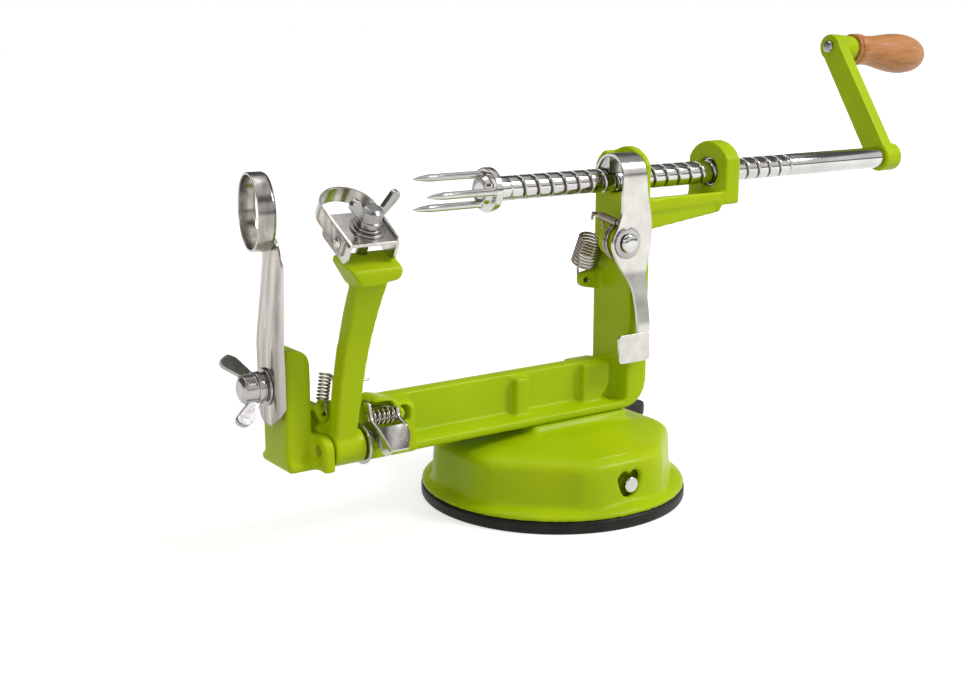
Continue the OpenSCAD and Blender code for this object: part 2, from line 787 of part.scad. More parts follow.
module peel_washers() {
    color(bright)
        at_holder()
            translate([1, -1, 0.06]) {
                washer(6, 2.1, 0.9);
                translate([0, 0, 0.95]) washer(4.9, 2.1, 1);
            }
}

module top_wing_nut() {
    color(bright)
        at_holder()
            translate([1, -1, 2.06]) rotate([0, 0, 12]) wing_nut(4.4, 5.6, 2.06, 10.6, 10.4, 6);
}

// Outline of the latch's side plates, in (Y, Z)
module latch_side() {
    difference() {
        polygon(rounded([
            [-14.6, 53.4, 1], [-11.6, 53.4, 1], [-10.6, 50, 2], [-10.6, 44.6, 2], [-18.3, 41, 2],
            [-24.8, 37.4, 1.5], [-27.4, 37.4, 1.5], [-30.2, 40.1, 0.6], [-20.6, 46, 2], [-16.4, 47.6, 2]
        ]));
        translate([latch_y, latch_z]) circle(1.6 + running_gap);
    }
}

module arm_latch() {
    color(bright) {
        along_x(-92.3, -91.3) latch_side();
        along_x(-81.4, -80.4)
            difference() {
                latch_side();
                translate([-20, 50.4]) square([12, 10]);
                translate([-40, 30]) square([18.6, 20]);
            }
        // Thumb tab with rounded corners, folded between the side plates
        intersection() {
            along_x(-92.3, -80.4)
                polygon([[-20.2, 45.7], [-30.2, 40.1], [-29.6, 39.3], [-20, 44.6]]);
            linear_extrude(60)
                polygon(rounded([
                    [-92.3, -31, 0], [-86, -31, 2], [-81.2, -24.6, 3], [-80.4, -21, 2], [-80.4, -19.6, 0],
                    [-92.3, -19.6, 0]
                ]));
        }
    }
}

module latch_pin() {
    color(bright) rod_x(1.6, -92.5, -77.6, latch_y, latch_z);
}

latch_wire = 0.45;
latch_coil = coil([-82.2, latch_y, latch_z], [-90.4, latch_y, latch_z], 2.6, 4.25, [0, 0, 1], -1);
latch_path = concat(
    [[-88.6, -5.4, 49.4], [-87.6, -7, 49.8], [-84.6, -10.6, 50.3]],
    latch_coil,
    [[-90.4, -16.4, 45], [-90.4, -18.8, 43.4], [-90.4, -23, 41.4]]
);

module latch_spring() {
    echo(latch_spring_least_gap = least_gap(latch_coil, latch_wire), wanted = spring_gap);
    color(bright) wire(latch_path, latch_wire);
}

// Sheet of the release lever seen along X: plate, cranked lower half and hood over the screw
module lever_section() {
    polygon([
        [plate_y, hood_z], [plate_y, 88], [-15.4, 66], [-15.8, 50], [-15.8 - sheet, 50], [-15.4 - sheet, 66.2],
        [plate_y - sheet, 88.2], [plate_y - sheet, hood_z]
    ]);
    intersection() {
        translate([hood_y, hood_z])
            difference() {
                circle(hood_r);
                circle(hood_r - sheet);
            }
        polygon([
            [hood_y, hood_z], [hood_y - 20, hood_z], [hood_y - 20, hood_z + 20], [hood_y + 20, hood_z + 20],
            [hood_y + 20, hood_z + 20 * tan(16)]
        ]);
    }
}

module release_lever() {
    color(bright) {
        difference() {
            intersection() {
                along_x(10, 45) lever_section();
                along_y(-25, 8)
                    polygon(rounded([
                        [22.4, 140, 0], [22.4, 108, 6], [17.2, 98, 3], [25.7, 84.8, 8], [28.4, 78, 6],
                        [29.4, 63.4, 0], [19.4, 63.4, 1], [19.4, 52, 1.5], [34.9, 52, 1.5], [35.2, 64, 4],
                        [35.6, 71.5, 8], [34.4, 86, 12], [37.8, 96, 10], [37.6, 106, 12], [34.4, 122, 10],
                        [34.4, 140, 0]
                    ]));
            }
            rod_y(2.5, -20, -5, rock_x, rock_z);
        }
        // Ear for the spring
        difference() {
            along_x(20.8, 22)
                polygon(rounded([
                    [plate_y - sheet, 107, 0], [plate_y, 106.6, 0], [-1, 107.4, 2], [3.8, 107.2, 1.8],
                    [3.8, 111.4, 1.8], [-1, 111.2, 2], [plate_y, 111.8, 0], [plate_y - sheet, 111.8, 0]
                ]));
            rod_x(1.1, 20, 23, 1.7, 109.4);
        }
    }
}

module half_nut() {
    helix_lean = atan(pitch / (2 * PI * shaft_r));
    color("gray") {
        difference() {
            intersection() {
                block(23.2, 33.9, -4, 1.6, shaft_z + 3, hood_z + hood_r);
                rod_x(hood_r - sheet - 0.02, 20, 40, hood_y, hood_z);
            }
            rod_x(shaft_r + 0.4, 20, 40, 0, shaft_z);
        }
        for (k = [0, 1])
            translate([thread_x + pitch * (8.25 + k), 0, 0])
                rotate([0, 0, helix_lean])
                    block(-0.28, 0.28, -1, 1, tooth_z, shaft_z + shaft_r + 1.6);
    }
}

module lever_screw() {
    color(bright) {
        rod_y(2, plate_y - sheet - 1.4, -2.6, rock_x, rock_z);
        translate([rock_x, plate_y - sheet - 1.2, rock_z])
            rotate([90, 0, 0])
                intersection() {
                    translate([0, 0, -2.4]) sphere(r = 4.6);
                    cylinder(r = 3.9, h = 4);
                }
    }
}

module lever_washer() {
    color(bright) translate([rock_x, plate_y - sheet, rock_z]) rotate([90, 0, 0]) washer(6.2, 2.6, 0.8);
}

// Lever spring: hooked through the frame's lug and the lever's ear
lever_wire = 0.5;
lever_coil = coil([21.9, 8.6, 88.9], [21.9, 3.7, 99.2], 4.7, 7.5, [0, 1, 0.4]);
lever_path = concat(
    [[21.4, 4.8, 82.2], [21.4, 7, 82], [21.4, 10.6, 82], [21.6, 12.6, 83], [21.8, 13.2, 85.6],
        [21.9, 13, 88.6]],
    lever_coil,
    [[22.4, -1.2, 100.6], [23.4, -0.8, 104.4], [23.8, 0.4, 107.8], [23, 1.5, 109.3], [21.4, 1.7, 109.5],
        [19.8, 1.6, 109], [19.2, 1.3, 107.2]]
);

module lever_spring() {
    echo(lever_spring_least_gap = least_gap(lever_coil, lever_wire), wanted = spring_gap);
    color(bright) wire(lever_path, lever_wire);
}

pivot_wire = 0.55;
pivot_coil = coil([rock_x, -10.6, rock_z], [rock_x, -7, rock_z], 7.1, 2.25, [0, 0, 1]);
pivot_path = concat(
    [[rock_x - 3, -10.7, rock_z + 7.4]],
    pivot_coil,
    [[rock_x + 6.9, -7, rock_z - 1.2]]
);

module lever_coil() {
    echo(lever_coil_least_gap = least_gap(pivot_coil, pivot_wire), wanted = spring_gap);
    color(bright) wire(pivot_path, pivot_wire, [0.2, 1, 0.1]);
}

// Thread of the feed screw: a helical grid of four points across the groove and its land
module thread() {
    steps = 24;
    last = steps * turns;
    shape = [
        [-groove_w, shaft_r], [-groove_foot, shaft_r - groove_d], [groove_foot, shaft_r - groove_d],
        [groove_w, shaft_r]
    ];
    grid = [
        for (j = [0:last], s = shape)
            let(a = 360 * j / steps)
            [thread_x + pitch * j / steps + s[0], s[1] * cos(a), s[1] * sin(a)]
    ];
    front = len(grid);
    points = concat(grid, [[thread_x - groove_w, 0, 0], [grid[front - 1][0], 0, 0]]);
    strips = [
        for (j = [0:last - 1], k = [0:3])
            if (k < 3 || j < last - steps)
                let(
                    a = 4 * j + k,
                    c = k < 3 ? a + 1 : 4 * (j + steps)
                )
                each [[a, c, a + 4], [a + 4, c, c + 4]]
    ];
    front_cap = concat(
        [for (j = [0:steps - 1]) [front, 4 * j, 4 * j + 4]],
        [for (k = [0:3]) [front, k < 3 ? k + 1 : 4 * steps, k]]
    );
    end = 4 * last;
    rear_cap = concat(
        [for (j = [last - steps:last - 1]) [front + 1, 4 * j + 7, 4 * j + 3]],
        [for (k = [0:2]) [front + 1, end + k, end + k + 1]],
        [[front + 1, 4 * (last - steps) + 3, end]]
    );
    polyhedron(points, concat(strips, front_cap, rear_cap), convexity = 10);
}

module feed_screw() {
    plain = shaft_r + 0.02;
    color(bright)
        translate([0, 0, shaft_z]) {
            thread();
            rod_x(plain, screw_x0, -24.2);
            rod_x(plain, 123.9, crank_x);
            rod_x(3.4, screw_x0 - 5.2, screw_x0 + 1);
            rod_x(3.6, crank_x - 1, crank_x + 9.6);
        }
}

module rear_bush() {
    color("gray")
        translate([lug_x + 1.6, 0, shaft_z]) rotate([0, 90, 0])
            washer(6.4, shaft_r + 0.1, lug_t - 1.8);
}

module fruit_fork() {
    prongs = 3;
    hub_r = 8.4;
    color(bright)
        translate([screw_x0, 0, shaft_z]) rotate([0, -90, 0]) {
            difference() {
                union() {
                    cylinder(r = hub_r, h = 3);
                    translate([0, 0, 3]) cylinder(r1 = 5.6, r2 = 4.8, h = 2.4);
                }
                translate([0, 0, -1]) cylinder(r = 3.4, h = 8);
            }
            for (i = [0:prongs - 1])
                rotate([0, 0, 90 + 120 * i]) translate([6.4, 0, 2]) {
                    cylinder(r = 1.4, h = 24);
                    translate([0, 0, 24]) cylinder(r1 = 1.4, r2 = 0.2, h = 6);
                }
        }
}

// Places what is drawn about the handle's own axis, along +X
module at_handle() {
    translate([crank_x, sin(crank_lean) * crank_len, shaft_z + cos(crank_lean) * crank_len])
        rotate([0, handle_droop, 0]) children();
}

module crank_arm() {
    color(green)
        difference() {
            union() {
                translate([0, 0, shaft_z]) rotate([-crank_lean, 0, 0])
                    along_x(crank_x, crank_x + crank_t)
                        union() {
                            circle(6.2);
                            translate([0, crank_len]) circle(5.5);
                            polygon([[-4.5, 0], [4.5, 0], [4.4, crank_len], [-4.4, crank_len]]);
                        }
                rod_x(6.2, crank_x, crank_x + 10, 0, shaft_z);
                at_handle() rod_x(5.9, 0.4, 14.6);
            }
            rod_x(3.6, crank_x - 1, crank_x + 11, 0, shaft_z);
            at_handle() rod_x(2.4, -5, 20);
        }
}

module handle_pin() {
    color(bright)
        at_handle() {
            rod_x(2.4, -0.6, 15);
            rod_x(2.2, 14.8, 57.6);
            translate([-0.59, 0, 0]) rotate([0, -90, 0]) cylinder(r1 = 2.9, r2 = 1.8, h = 0.9);
        }
}

module handle_collar() {
    color("burlywood") at_handle() translate([14.7, 0, 0]) rotate([0, 90, 0]) washer(7, 2.4, 1.6);
}

// Turned wooden grip: foot, slim neck and a round bulb
module handle() {
    profile = [
        [0, 6.9], [0.8, 7.2], [3, 7.2], [5.5, 6.8], [11, 6.9], [17, 7.8], [23, 8.7], [29, 9.2], [35, 9],
        [39.8, 8.1], [handle_len - 3.7, 6.3], [handle_len - 1.2, 3.9], [handle_len, 0]
    ];
    color("peru")
        at_handle()
            translate([16.6, 0, 0])
                rotate([0, 90, 0])
                    difference() {
                        rotate_extrude($fn = 64)
                            polygon(concat([[0, 0]], [for (p = profile) [p[1], p[0]]]));
                        translate([0, 0, -1]) cylinder(r = 2.2 + running_gap, h = 42.4);
                    }
}

frame();
base_cover();
cover_screws();
suction_pad();
pad_stud();
cam_shaft();
suction_lever();
lever_grip();
slicing_blade();
blade_stud();
blade_washers();
front_wing_nut();
peel_arm();
arm_pivot_pin();
arm_washer();
arm_spring();
blade_holder();
peel_blade();
blade_rivets();
peel_bolt();
peel_washers();
top_wing_nut();
arm_latch();
latch_pin();
latch_spring();
release_lever();
half_nut();
lever_screw();
lever_washer();
lever_spring();
lever_coil();
feed_screw();
rear_bush();
fruit_fork();
crank_arm();
handle_pin();
handle_collar();
handle();
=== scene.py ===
import json

import bmesh
import bpy
import numpy as np
from mathutils import Matrix, Vector


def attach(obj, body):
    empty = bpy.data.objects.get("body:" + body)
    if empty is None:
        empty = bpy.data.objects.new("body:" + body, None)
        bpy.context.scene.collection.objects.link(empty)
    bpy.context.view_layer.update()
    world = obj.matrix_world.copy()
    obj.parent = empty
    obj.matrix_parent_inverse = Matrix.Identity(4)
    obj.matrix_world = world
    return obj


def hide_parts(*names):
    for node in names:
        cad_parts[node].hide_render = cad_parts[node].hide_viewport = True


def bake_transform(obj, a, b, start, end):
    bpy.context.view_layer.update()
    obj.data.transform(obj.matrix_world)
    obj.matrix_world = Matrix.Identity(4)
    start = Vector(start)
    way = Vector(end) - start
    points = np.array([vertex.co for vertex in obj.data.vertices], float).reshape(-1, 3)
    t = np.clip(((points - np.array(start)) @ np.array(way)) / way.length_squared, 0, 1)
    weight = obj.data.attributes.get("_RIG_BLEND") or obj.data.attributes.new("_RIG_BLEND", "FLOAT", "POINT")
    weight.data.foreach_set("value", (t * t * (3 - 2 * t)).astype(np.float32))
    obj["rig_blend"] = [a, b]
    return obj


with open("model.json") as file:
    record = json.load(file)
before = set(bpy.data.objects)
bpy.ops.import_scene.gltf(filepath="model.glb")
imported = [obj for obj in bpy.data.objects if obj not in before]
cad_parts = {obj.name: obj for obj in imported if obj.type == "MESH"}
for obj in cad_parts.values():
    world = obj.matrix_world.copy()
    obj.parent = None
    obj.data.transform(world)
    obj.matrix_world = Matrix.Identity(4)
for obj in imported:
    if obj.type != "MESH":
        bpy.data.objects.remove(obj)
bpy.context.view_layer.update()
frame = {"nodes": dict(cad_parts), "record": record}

mm = 0.001
shaftZ = 122.5  # height of the feed screw's axis, mm
record = frame["record"]
cadNodes = frame["nodes"]
bodyOf = {node: body for body, nodes in record["behaviour"]["bodies"].items() for node in nodes}
slotOf = {part["node"]: part["material_slot"] for part in record["subparts"]}


# Finishes

def linearColour(code):
    # sRGB hex value to linear light
    values = np.array([int(code[i:i + 2], 16) for i in (1, 3, 5)]) / 255
    linear = np.where(values <= 0.04045, values / 12.92, ((values + 0.055) / 1.055) ** 2.4)
    return (*linear.tolist(), 1.0)


def addNode(tree, kind, inputs=None, **settings):
    # a node with its settings; each input is a plain value or the socket that feeds it
    node = tree.nodes.new(kind)
    for key, value in settings.items():
        setattr(node, key, value)
    for key, value in (inputs or {}).items():
        if isinstance(value, bpy.types.NodeSocket):
            tree.links.new(value, node.inputs[key])
        else:
            node.inputs[key].default_value = value
    return node


def newFinish(name, **sockets):
    # a material whose shader has fixed values; returned with its tree, shader and object
    # coordinates
    material = bpy.data.materials.new(name)
    material.use_nodes = True
    tree = material.node_tree
    shader = tree.nodes["Principled BSDF"]
    for key, value in sockets.items():
        shader.inputs[key.replace("_", " ")].default_value = value
    place = addNode(tree, "ShaderNodeTexCoord").outputs["Object"]
    return material, tree, shader, place


def twoTones(tree, factor, low, high, start=0.35, end=0.65):
    # the colour goes evenly from low to high while the factor goes from start to end
    ramp = addNode(tree, "ShaderNodeValToRGB", {"Fac": factor})
    ramp.color_ramp.elements[0].position = start
    ramp.color_ramp.elements[0].color = linearColour(low)
    ramp.color_ramp.elements[1].position = end
    ramp.color_ramp.elements[1].color = linearColour(high)
    return ramp.outputs["Color"]


def glossLacquer():
    # stoved gloss lacquer on die-cast zinc: a clear sheen and a faint orange peel, over the slow
    # waves of the casting under it
    look = {"peelSize": 2.2, "peelDepth": 0.02, "waveSize": 14, "waveDepth": 0.35, "toneSize": 45,
            "light": "#B4CC08", "deep": "#A2BE06"}
    material, tree, shader, place = newFinish(
        "glossLimeLacquer", Roughness=0.38, Coat_Weight=0.08, Coat_Roughness=0.1,
        Specular_IOR_Level=0.09)
    tone = addNode(tree, "ShaderNodeTexNoise",
                   {"Vector": place, "Scale": 1000 / look["toneSize"],
                    "Detail": 2.0}).outputs["Fac"]
    tree.links.new(twoTones(tree, tone, look["deep"], look["light"]), shader.inputs["Base Color"])
    waves = addNode(tree, "ShaderNodeTexNoise",
                    {"Vector": place, "Scale": 1000 / look["waveSize"],
                     "Detail": 1.0}).outputs["Fac"]
    peel = addNode(tree, "ShaderNodeTexNoise",
                   {"Vector": place, "Scale": 1000 / look["peelSize"],
                    "Detail": 1.0}).outputs["Fac"]
    waved = addNode(tree, "ShaderNodeBump",
                    {"Height": waves, "Distance": look["waveDepth"] * mm,
                     "Strength": 0.6}).outputs["Normal"]
    bumped = addNode(tree, "ShaderNodeBump",
                     {"Height": peel, "Distance": look["peelDepth"] * mm, "Strength": 0.6,
                      "Normal": waved}).outputs["Normal"]
    tree.links.new(bumped, shader.inputs["Normal"])
    tree.links.new(waved, shader.inputs["Coat Normal"])
    return material


def paintedGrooveShade(tree, place, tone):
    # painted shade in the feed screw's groove: the tone darkens from the screw's surface down to the
    # groove's bottom, by the distance from the axis, the root of y squared and z squared
    grooveShade = {"inside": 3.8, "bottom": 4.05, "surface": 4.55, "tint": "#4A4744"}
    parts = addNode(tree, "ShaderNodeSeparateXYZ", {"Vector": place}).outputs
    up = addNode(tree, "ShaderNodeMath", {0: parts["Z"], 1: shaftZ * mm}, operation="SUBTRACT")
    square = addNode(tree, "ShaderNodeMath", {0: up.outputs["Value"], 1: 2.0}, operation="POWER")
    total = addNode(tree, "ShaderNodeMath",
                    {0: parts["Y"], 1: parts["Y"], 2: square.outputs["Value"]},
                    operation="MULTIPLY_ADD")
    radius = addNode(tree, "ShaderNodeMath", {0: total.outputs["Value"]},
                     operation="SQRT").outputs["Value"]
    depth = addNode(tree, "ShaderNodeMapRange",
                    {"Value": radius, "From Min": grooveShade["surface"] * mm,
                     "From Max": grooveShade["bottom"] * mm}).outputs["Result"]
    inside = addNode(tree, "ShaderNodeMath", {0: radius, 1: grooveShade["inside"] * mm},
                     operation="GREATER_THAN")
    share = addNode(tree, "ShaderNodeMath", {0: depth, 1: inside.outputs["Value"]},
                    operation="MULTIPLY")
    return addNode(tree, "ShaderNodeMix",
                   {"Factor": share.outputs["Value"], 6: tone, 7: linearColour(grooveShade["tint"])},
                   data_type="RGBA").outputs[2]


def platedSteel(name, light, deep, roughness, grain, depth, stretch=(1, 1, 1), grooves=False):
    # bright plate on steel: mirror-like, with fine polishing marks and a faint cloudiness of tone; a
    # stretch draws the tone out into streaks, which on the blade strip are painted reflection
    material, tree, shader, place = newFinish(name, Metallic=1.0)
    drawn = addNode(tree, "ShaderNodeMapping",
                    {"Vector": place, "Scale": stretch}).outputs["Vector"]
    marks = addNode(tree, "ShaderNodeTexNoise",
                    {"Vector": drawn, "Scale": 1000 / grain, "Detail": 3.0}).outputs["Fac"]
    cloud = addNode(tree, "ShaderNodeTexNoise",
                    {"Vector": drawn, "Scale": 1000 / (grain * 9), "Detail": 2.0}).outputs["Fac"]
    tone = twoTones(tree, cloud, deep, light)
    # painted shade: the tone darkens in the feed screw's groove, where shade falls
    if grooves:
        tone = paintedGrooveShade(tree, place, tone)
    tree.links.new(tone, shader.inputs["Base Color"])
    rough = addNode(tree, "ShaderNodeMapRange",
                    {"Value": marks, "From Min": 0.3, "From Max": 0.7,
                     "To Min": roughness * 0.85, "To Max": roughness * 1.2}).outputs["Result"]
    tree.links.new(rough, shader.inputs["Roughness"])
    bumped = addNode(tree, "ShaderNodeBump",
                     {"Height": marks, "Distance": depth * mm, "Strength": 0.5}).outputs["Normal"]
    tree.links.new(bumped, shader.inputs["Normal"])
    return material


def dullBlack(name, light, deep, roughness, grain, depth):
    # rubber, moulded plastic or coated strip: near black with a fine grain that scatters the light
    material, tree, shader, place = newFinish(name, Specular_IOR_Level=0.22)
    speck = addNode(tree, "ShaderNodeTexNoise",
                    {"Vector": place, "Scale": 1000 / grain, "Detail": 4.0}).outputs["Fac"]
    cloud = addNode(tree, "ShaderNodeTexNoise",
                    {"Vector": place, "Scale": 1000 / (grain * 20), "Detail": 2.0}).outputs["Fac"]
    tree.links.new(twoTones(tree, cloud, deep, light), shader.inputs["Base Color"])
    rough = addNode(tree, "ShaderNodeMapRange",
                    {"Value": speck, "From Min": 0.3, "From Max": 0.7,
                     "To Min": roughness * 0.85, "To Max": roughness * 1.15}).outputs["Result"]
    tree.links.new(rough, shader.inputs["Roughness"])
    bumped = addNode(tree, "ShaderNodeBump",
                     {"Height": speck, "Distance": depth * mm, "Strength": 0.5}).outputs["Normal"]
    tree.links.new(bumped, shader.inputs["Normal"])
    return material


def turnedHardwood():
    # lacquered turned beech: long grain along the grip with short darker flecks under a thin gloss
    look = {"droop": -0.08, "grain": 2.6, "fleck": 0.5, "length": 14, "light": "#D0925A",
            "deep": "#AA6E3C", "fleckTone": "#84502A", "poreDepth": 0.06}
    material, tree, shader, place = newFinish(
        "lacqueredBeech", Roughness=0.45, Coat_Weight=0.15, Coat_Roughness=0.18,
        Specular_IOR_Level=0.25)
    along = addNode(tree, "ShaderNodeMapping",
                    {"Vector": place, "Rotation": (0, look["droop"], 0),
                     "Scale": (1 / look["length"], 1, 1)}).outputs["Vector"]
    grain = addNode(tree, "ShaderNodeTexNoise",
                    {"Vector": along, "Scale": 1000 / look["grain"], "Detail": 4.0,
                     "Distortion": 0.4}).outputs["Fac"]
    flecks = addNode(tree, "ShaderNodeTexNoise",
                     {"Vector": along, "Scale": 1000 / look["fleck"],
                      "Detail": 2.0}).outputs["Fac"]
    wood = twoTones(tree, grain, look["deep"], look["light"], 0.3, 0.7)
    share = addNode(tree, "ShaderNodeMapRange",
                    {"Value": flecks, "From Min": 0.58, "From Max": 0.7,
                     "To Max": 0.6}).outputs["Result"]
    flecked = addNode(tree, "ShaderNodeMix",
                      {"Factor": share, 6: wood, 7: linearColour(look["fleckTone"])},
                      data_type="RGBA").outputs[2]
    tree.links.new(flecked, shader.inputs["Base Color"])
    bumped = addNode(tree, "ShaderNodeBump",
                     {"Height": grain, "Distance": look["poreDepth"] * mm,
                      "Strength": 0.4}).outputs["Normal"]
    tree.links.new(bumped, shader.inputs["Normal"])
    return material


# after the name: light and deep tone, roughness, grain in mm and depth of the grain in mm
finishes = {
    "green_coat": glossLacquer(),
    "black_rubber": dullBlack("mouldedRubber", "#26231F", "#171513", 0.48, 0.5, 0.02),
    "black_coat": dullBlack("blackedSteelStrip", "#2B2A2B", "#1E1D1E", 0.4, 0.8, 0.02),
    "black_plastic": dullBlack("mouldedBlackPlastic", "#403A3C", "#2E292B", 0.42, 0.6, 0.03),
    # the chrome's tone gets painted shade in the feed screw's groove
    "polished_steel": platedSteel("chromedSteel", "#CFCDCB", "#C2C0BE", 0.12, 1.2, 0.002,
                                  grooves=True),
    "bright_plate": platedSteel("nickelledSheet", "#CFCCC6", "#C2BFB9", 0.2, 0.6, 0.001),
    # the blade strip's tone is painted reflection: grey streaks drawn out up the strip
    "blade_steel": platedSteel("stainlessStrip", "#C4C0B9", "#948F89", 0.2, 0.4, 0.002,
                               stretch=(1, 1, 0.06)),
    "zinc_steel": platedSteel("zincPlatedSteel", "#B5B3B2", "#9A9897", 0.2, 1.4, 0.006),
    "spring_steel": platedSteel("platedSpringWire", "#B8AEA2", "#9A9085", 0.18, 0.8, 0.002),
    "turned_wood": turnedHardwood(),
}
for node, part in cadNodes.items():
    part.data.materials.clear()
    part.data.materials.append(finishes[slotOf[node]])
print("stage: finishes")


# Shapes worked out on grids, in mm

def softCorners(line, reach, steps=4, closed=False):
    # each corner of the line, or of the lines on the last two axes, becomes a short parabola
    # that starts `reach` before the corner and ends as far behind it
    line = np.asarray(line, float)
    if closed:
        middle, last, following = line, np.roll(line, 1, -2), np.roll(line, -1, -2)
    else:
        middle, last, following = line[..., 1:-1, :], line[..., :-2, :], line[..., 2:, :]
    back, ahead = last - middle, following - middle
    shareBack = np.minimum(reach / np.linalg.norm(back, axis=-1, keepdims=True), 0.48)
    shareAhead = np.minimum(reach / np.linalg.norm(ahead, axis=-1, keepdims=True), 0.48)
    t = np.linspace(0, 1, steps + 1)[:, None]
    start = (middle + back * shareBack)[..., None, :]
    end = (middle + ahead * shareAhead)[..., None, :]
    arcs = (1 - t) ** 2 * start + 2 * t * (1 - t) * middle[..., None, :] + t ** 2 * end
    arcs = arcs.reshape(*arcs.shape[:-3], -1, line.shape[-1])
    return arcs if closed else np.concatenate([line[..., :1, :], arcs, line[..., -1:, :]], -2)


def easedPath(points, step, rounds):
    # the path is sampled again at even steps, then each point moves to the mean of itself and
    # its neighbours, once a round
    points = np.asarray(points, float)
    along = np.concatenate([[0], np.cumsum(np.linalg.norm(np.diff(points, axis=0), axis=1))])
    at = np.linspace(0, along[-1], int(along[-1] / step) + 2)
    path = np.stack([np.interp(at, along, points[:, k]) for k in range(3)], 1)
    for _ in range(rounds):
        path[1:-1] = (path[:-2] + 2 * path[1:-1] + path[2:]) / 4
    return path


def smoothCurve(points, count):
    # a smooth curve through the points: cubic pieces whose slopes come from their neighbours
    points = np.asarray(points, float)
    knots = np.concatenate([[0], np.cumsum(np.linalg.norm(np.diff(points, axis=0), axis=1))])
    slope = np.gradient(points, knots, axis=0)
    at = np.linspace(0, knots[-1], count)
    k = np.clip(np.searchsorted(knots, at, "right") - 1, 0, len(knots) - 2)
    width = (knots[k + 1] - knots[k])[:, None]
    t = ((at - knots[k])[:, None]) / width
    return ((2 * t ** 3 - 3 * t ** 2 + 1) * points[k] + (t ** 3 - 2 * t ** 2 + t) * width * slope[k]
            + (3 * t ** 2 - 2 * t ** 3) * points[k + 1] + (t ** 3 - t ** 2) * width * slope[k + 1])


def gridFaces(rows, columns, closeRows=False, closeColumns=False):
    # the quads between neighbouring points of a grid
    i, j = np.meshgrid(np.arange(rows - (not closeRows)), np.arange(columns - (not closeColumns)),
                       indexing="ij")
    nextI, nextJ = (i + 1) % rows, (j + 1) % columns
    corners = [i * columns + j, i * columns + nextJ, nextI * columns + nextJ, nextI * columns + j]
    return np.stack(corners, -1).reshape(-1, 4)


def newSurface(name, grids, merge=True):
    # grids of (points, close rows, close columns) become one mesh; where merge is on, seams and
    # poles are joined and the faces turn outwards
    vertices, faces, start = [], [], 0
    for points, closeRows, closeColumns in grids:
        vertices.append(points.reshape(-1, 3))
        faces.append(gridFaces(*points.shape[:2], closeRows, closeColumns) + start)
        start += len(vertices[-1])
    mesh = bpy.data.meshes.new(name)
    mesh.from_pydata((np.concatenate(vertices) * mm).tolist(), [], np.concatenate(faces).tolist())
    if merge:
        shell = bmesh.new()
        shell.from_mesh(mesh)
        bmesh.ops.remove_doubles(shell, verts=shell.verts, dist=0.002 * mm)
        bmesh.ops.recalc_face_normals(shell, faces=shell.faces)
        shell.to_mesh(mesh)
        shell.free()
    mesh.shade_smooth()
    piece = bpy.data.objects.new(name, mesh)
    bpy.context.scene.collection.objects.link(piece)
    return piece


def turned(profile, origin, axis, steps=48, closed=False):
    # a profile of (distance along the axis, radius) turned about the axis
    axis = np.asarray(axis, float) / np.linalg.norm(axis)
    first = np.cross(axis, [0.31, 0.42, 0.85])  # any direction that no axis here has
    first /= np.linalg.norm(first)
    second = np.cross(axis, first)
    angle = np.linspace(0, 2 * np.pi, steps, endpoint=False)[None, :, None]
    along, radius = np.asarray(profile, float).T[:, :, None, None]
    outwards = np.cos(angle) * first + np.sin(angle) * second
    return np.asarray(origin, float) + along * axis + radius * outwards, closed, True


def tube(path, radius, sides=10, tries=300):
    # a round section carried along the path; its side line is square to the path and to one fixed
    # direction, the one of those tried, which are spread evenly over a half sphere, that stays
    # furthest from the path's own directions
    path = np.asarray(path, float)
    tangent = np.gradient(path, axis=0)
    tangent /= np.linalg.norm(tangent, axis=1, keepdims=True)
    count = np.arange(tries) + 0.5
    level, spiral = count / tries, count * np.pi * (1 + 5 ** 0.5)
    flat = np.sqrt(1 - level ** 2)
    spread = np.stack([flat * np.cos(spiral), flat * np.sin(spiral), level], 1)
    least = np.linalg.norm(np.cross(tangent[None], spread[:, None]), axis=-1).min(axis=1)
    side = np.cross(tangent, spread[np.argmax(least)])
    side /= np.linalg.norm(side, axis=1, keepdims=True)
    other = np.cross(tangent, side)
    angle = np.linspace(0, 2 * np.pi, sides, endpoint=False)[None, :, None]
    ring = np.cos(angle) * side[:, None] + np.sin(angle) * other[:, None]
    points = path[:, None] + radius * ring
    ends = [np.repeat(path[k][None, None], sides, 1) for k in (0, -1)]
    return np.concatenate([ends[0], points, ends[1]]), False, True


def coilPoints(start, end, radius, turns, towards, hand=1, perTurn=28):
    # centre line of a coil: a circle carried evenly from start to end
    start, end = np.asarray(start, float), np.asarray(end, float)
    axis = (end - start) / np.linalg.norm(end - start)
    first = np.asarray(towards, float) - axis * (np.asarray(towards, float) @ axis)
    first /= np.linalg.norm(first)
    second = np.cross(axis, first) * hand
    t = np.linspace(0, 1, int(turns * perTurn))[:, None]
    angle = 2 * np.pi * turns * t
    return start + (end - start) * t + radius * (np.cos(angle) * first + np.sin(angle) * second)


def washerProfile(bore, radius, height, rim=0.25):
    # the section of a flat ring, its four corners softened
    return softCorners([[0, bore], [0, radius], [height, radius], [height, bore]], rim, 3, True)


def finished(piece, *nodes, slot=None):
    # gives the piece its finish and lets it stand for its CAD nodes, on their body
    slot = slot or slotOf[nodes[0]]
    piece.data.materials.clear()
    piece.data.materials.append(finishes[slot])
    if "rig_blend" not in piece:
        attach(piece, bodyOf[nodes[0]])
    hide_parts(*nodes)
    return piece


def pieceFrom(name, shell):
    # a new piece whose mesh is the shell's
    mesh = bpy.data.meshes.new(name)
    shell.to_mesh(mesh)
    shell.free()
    piece = bpy.data.objects.new(name, mesh)
    bpy.context.scene.collection.objects.link(piece)
    return piece


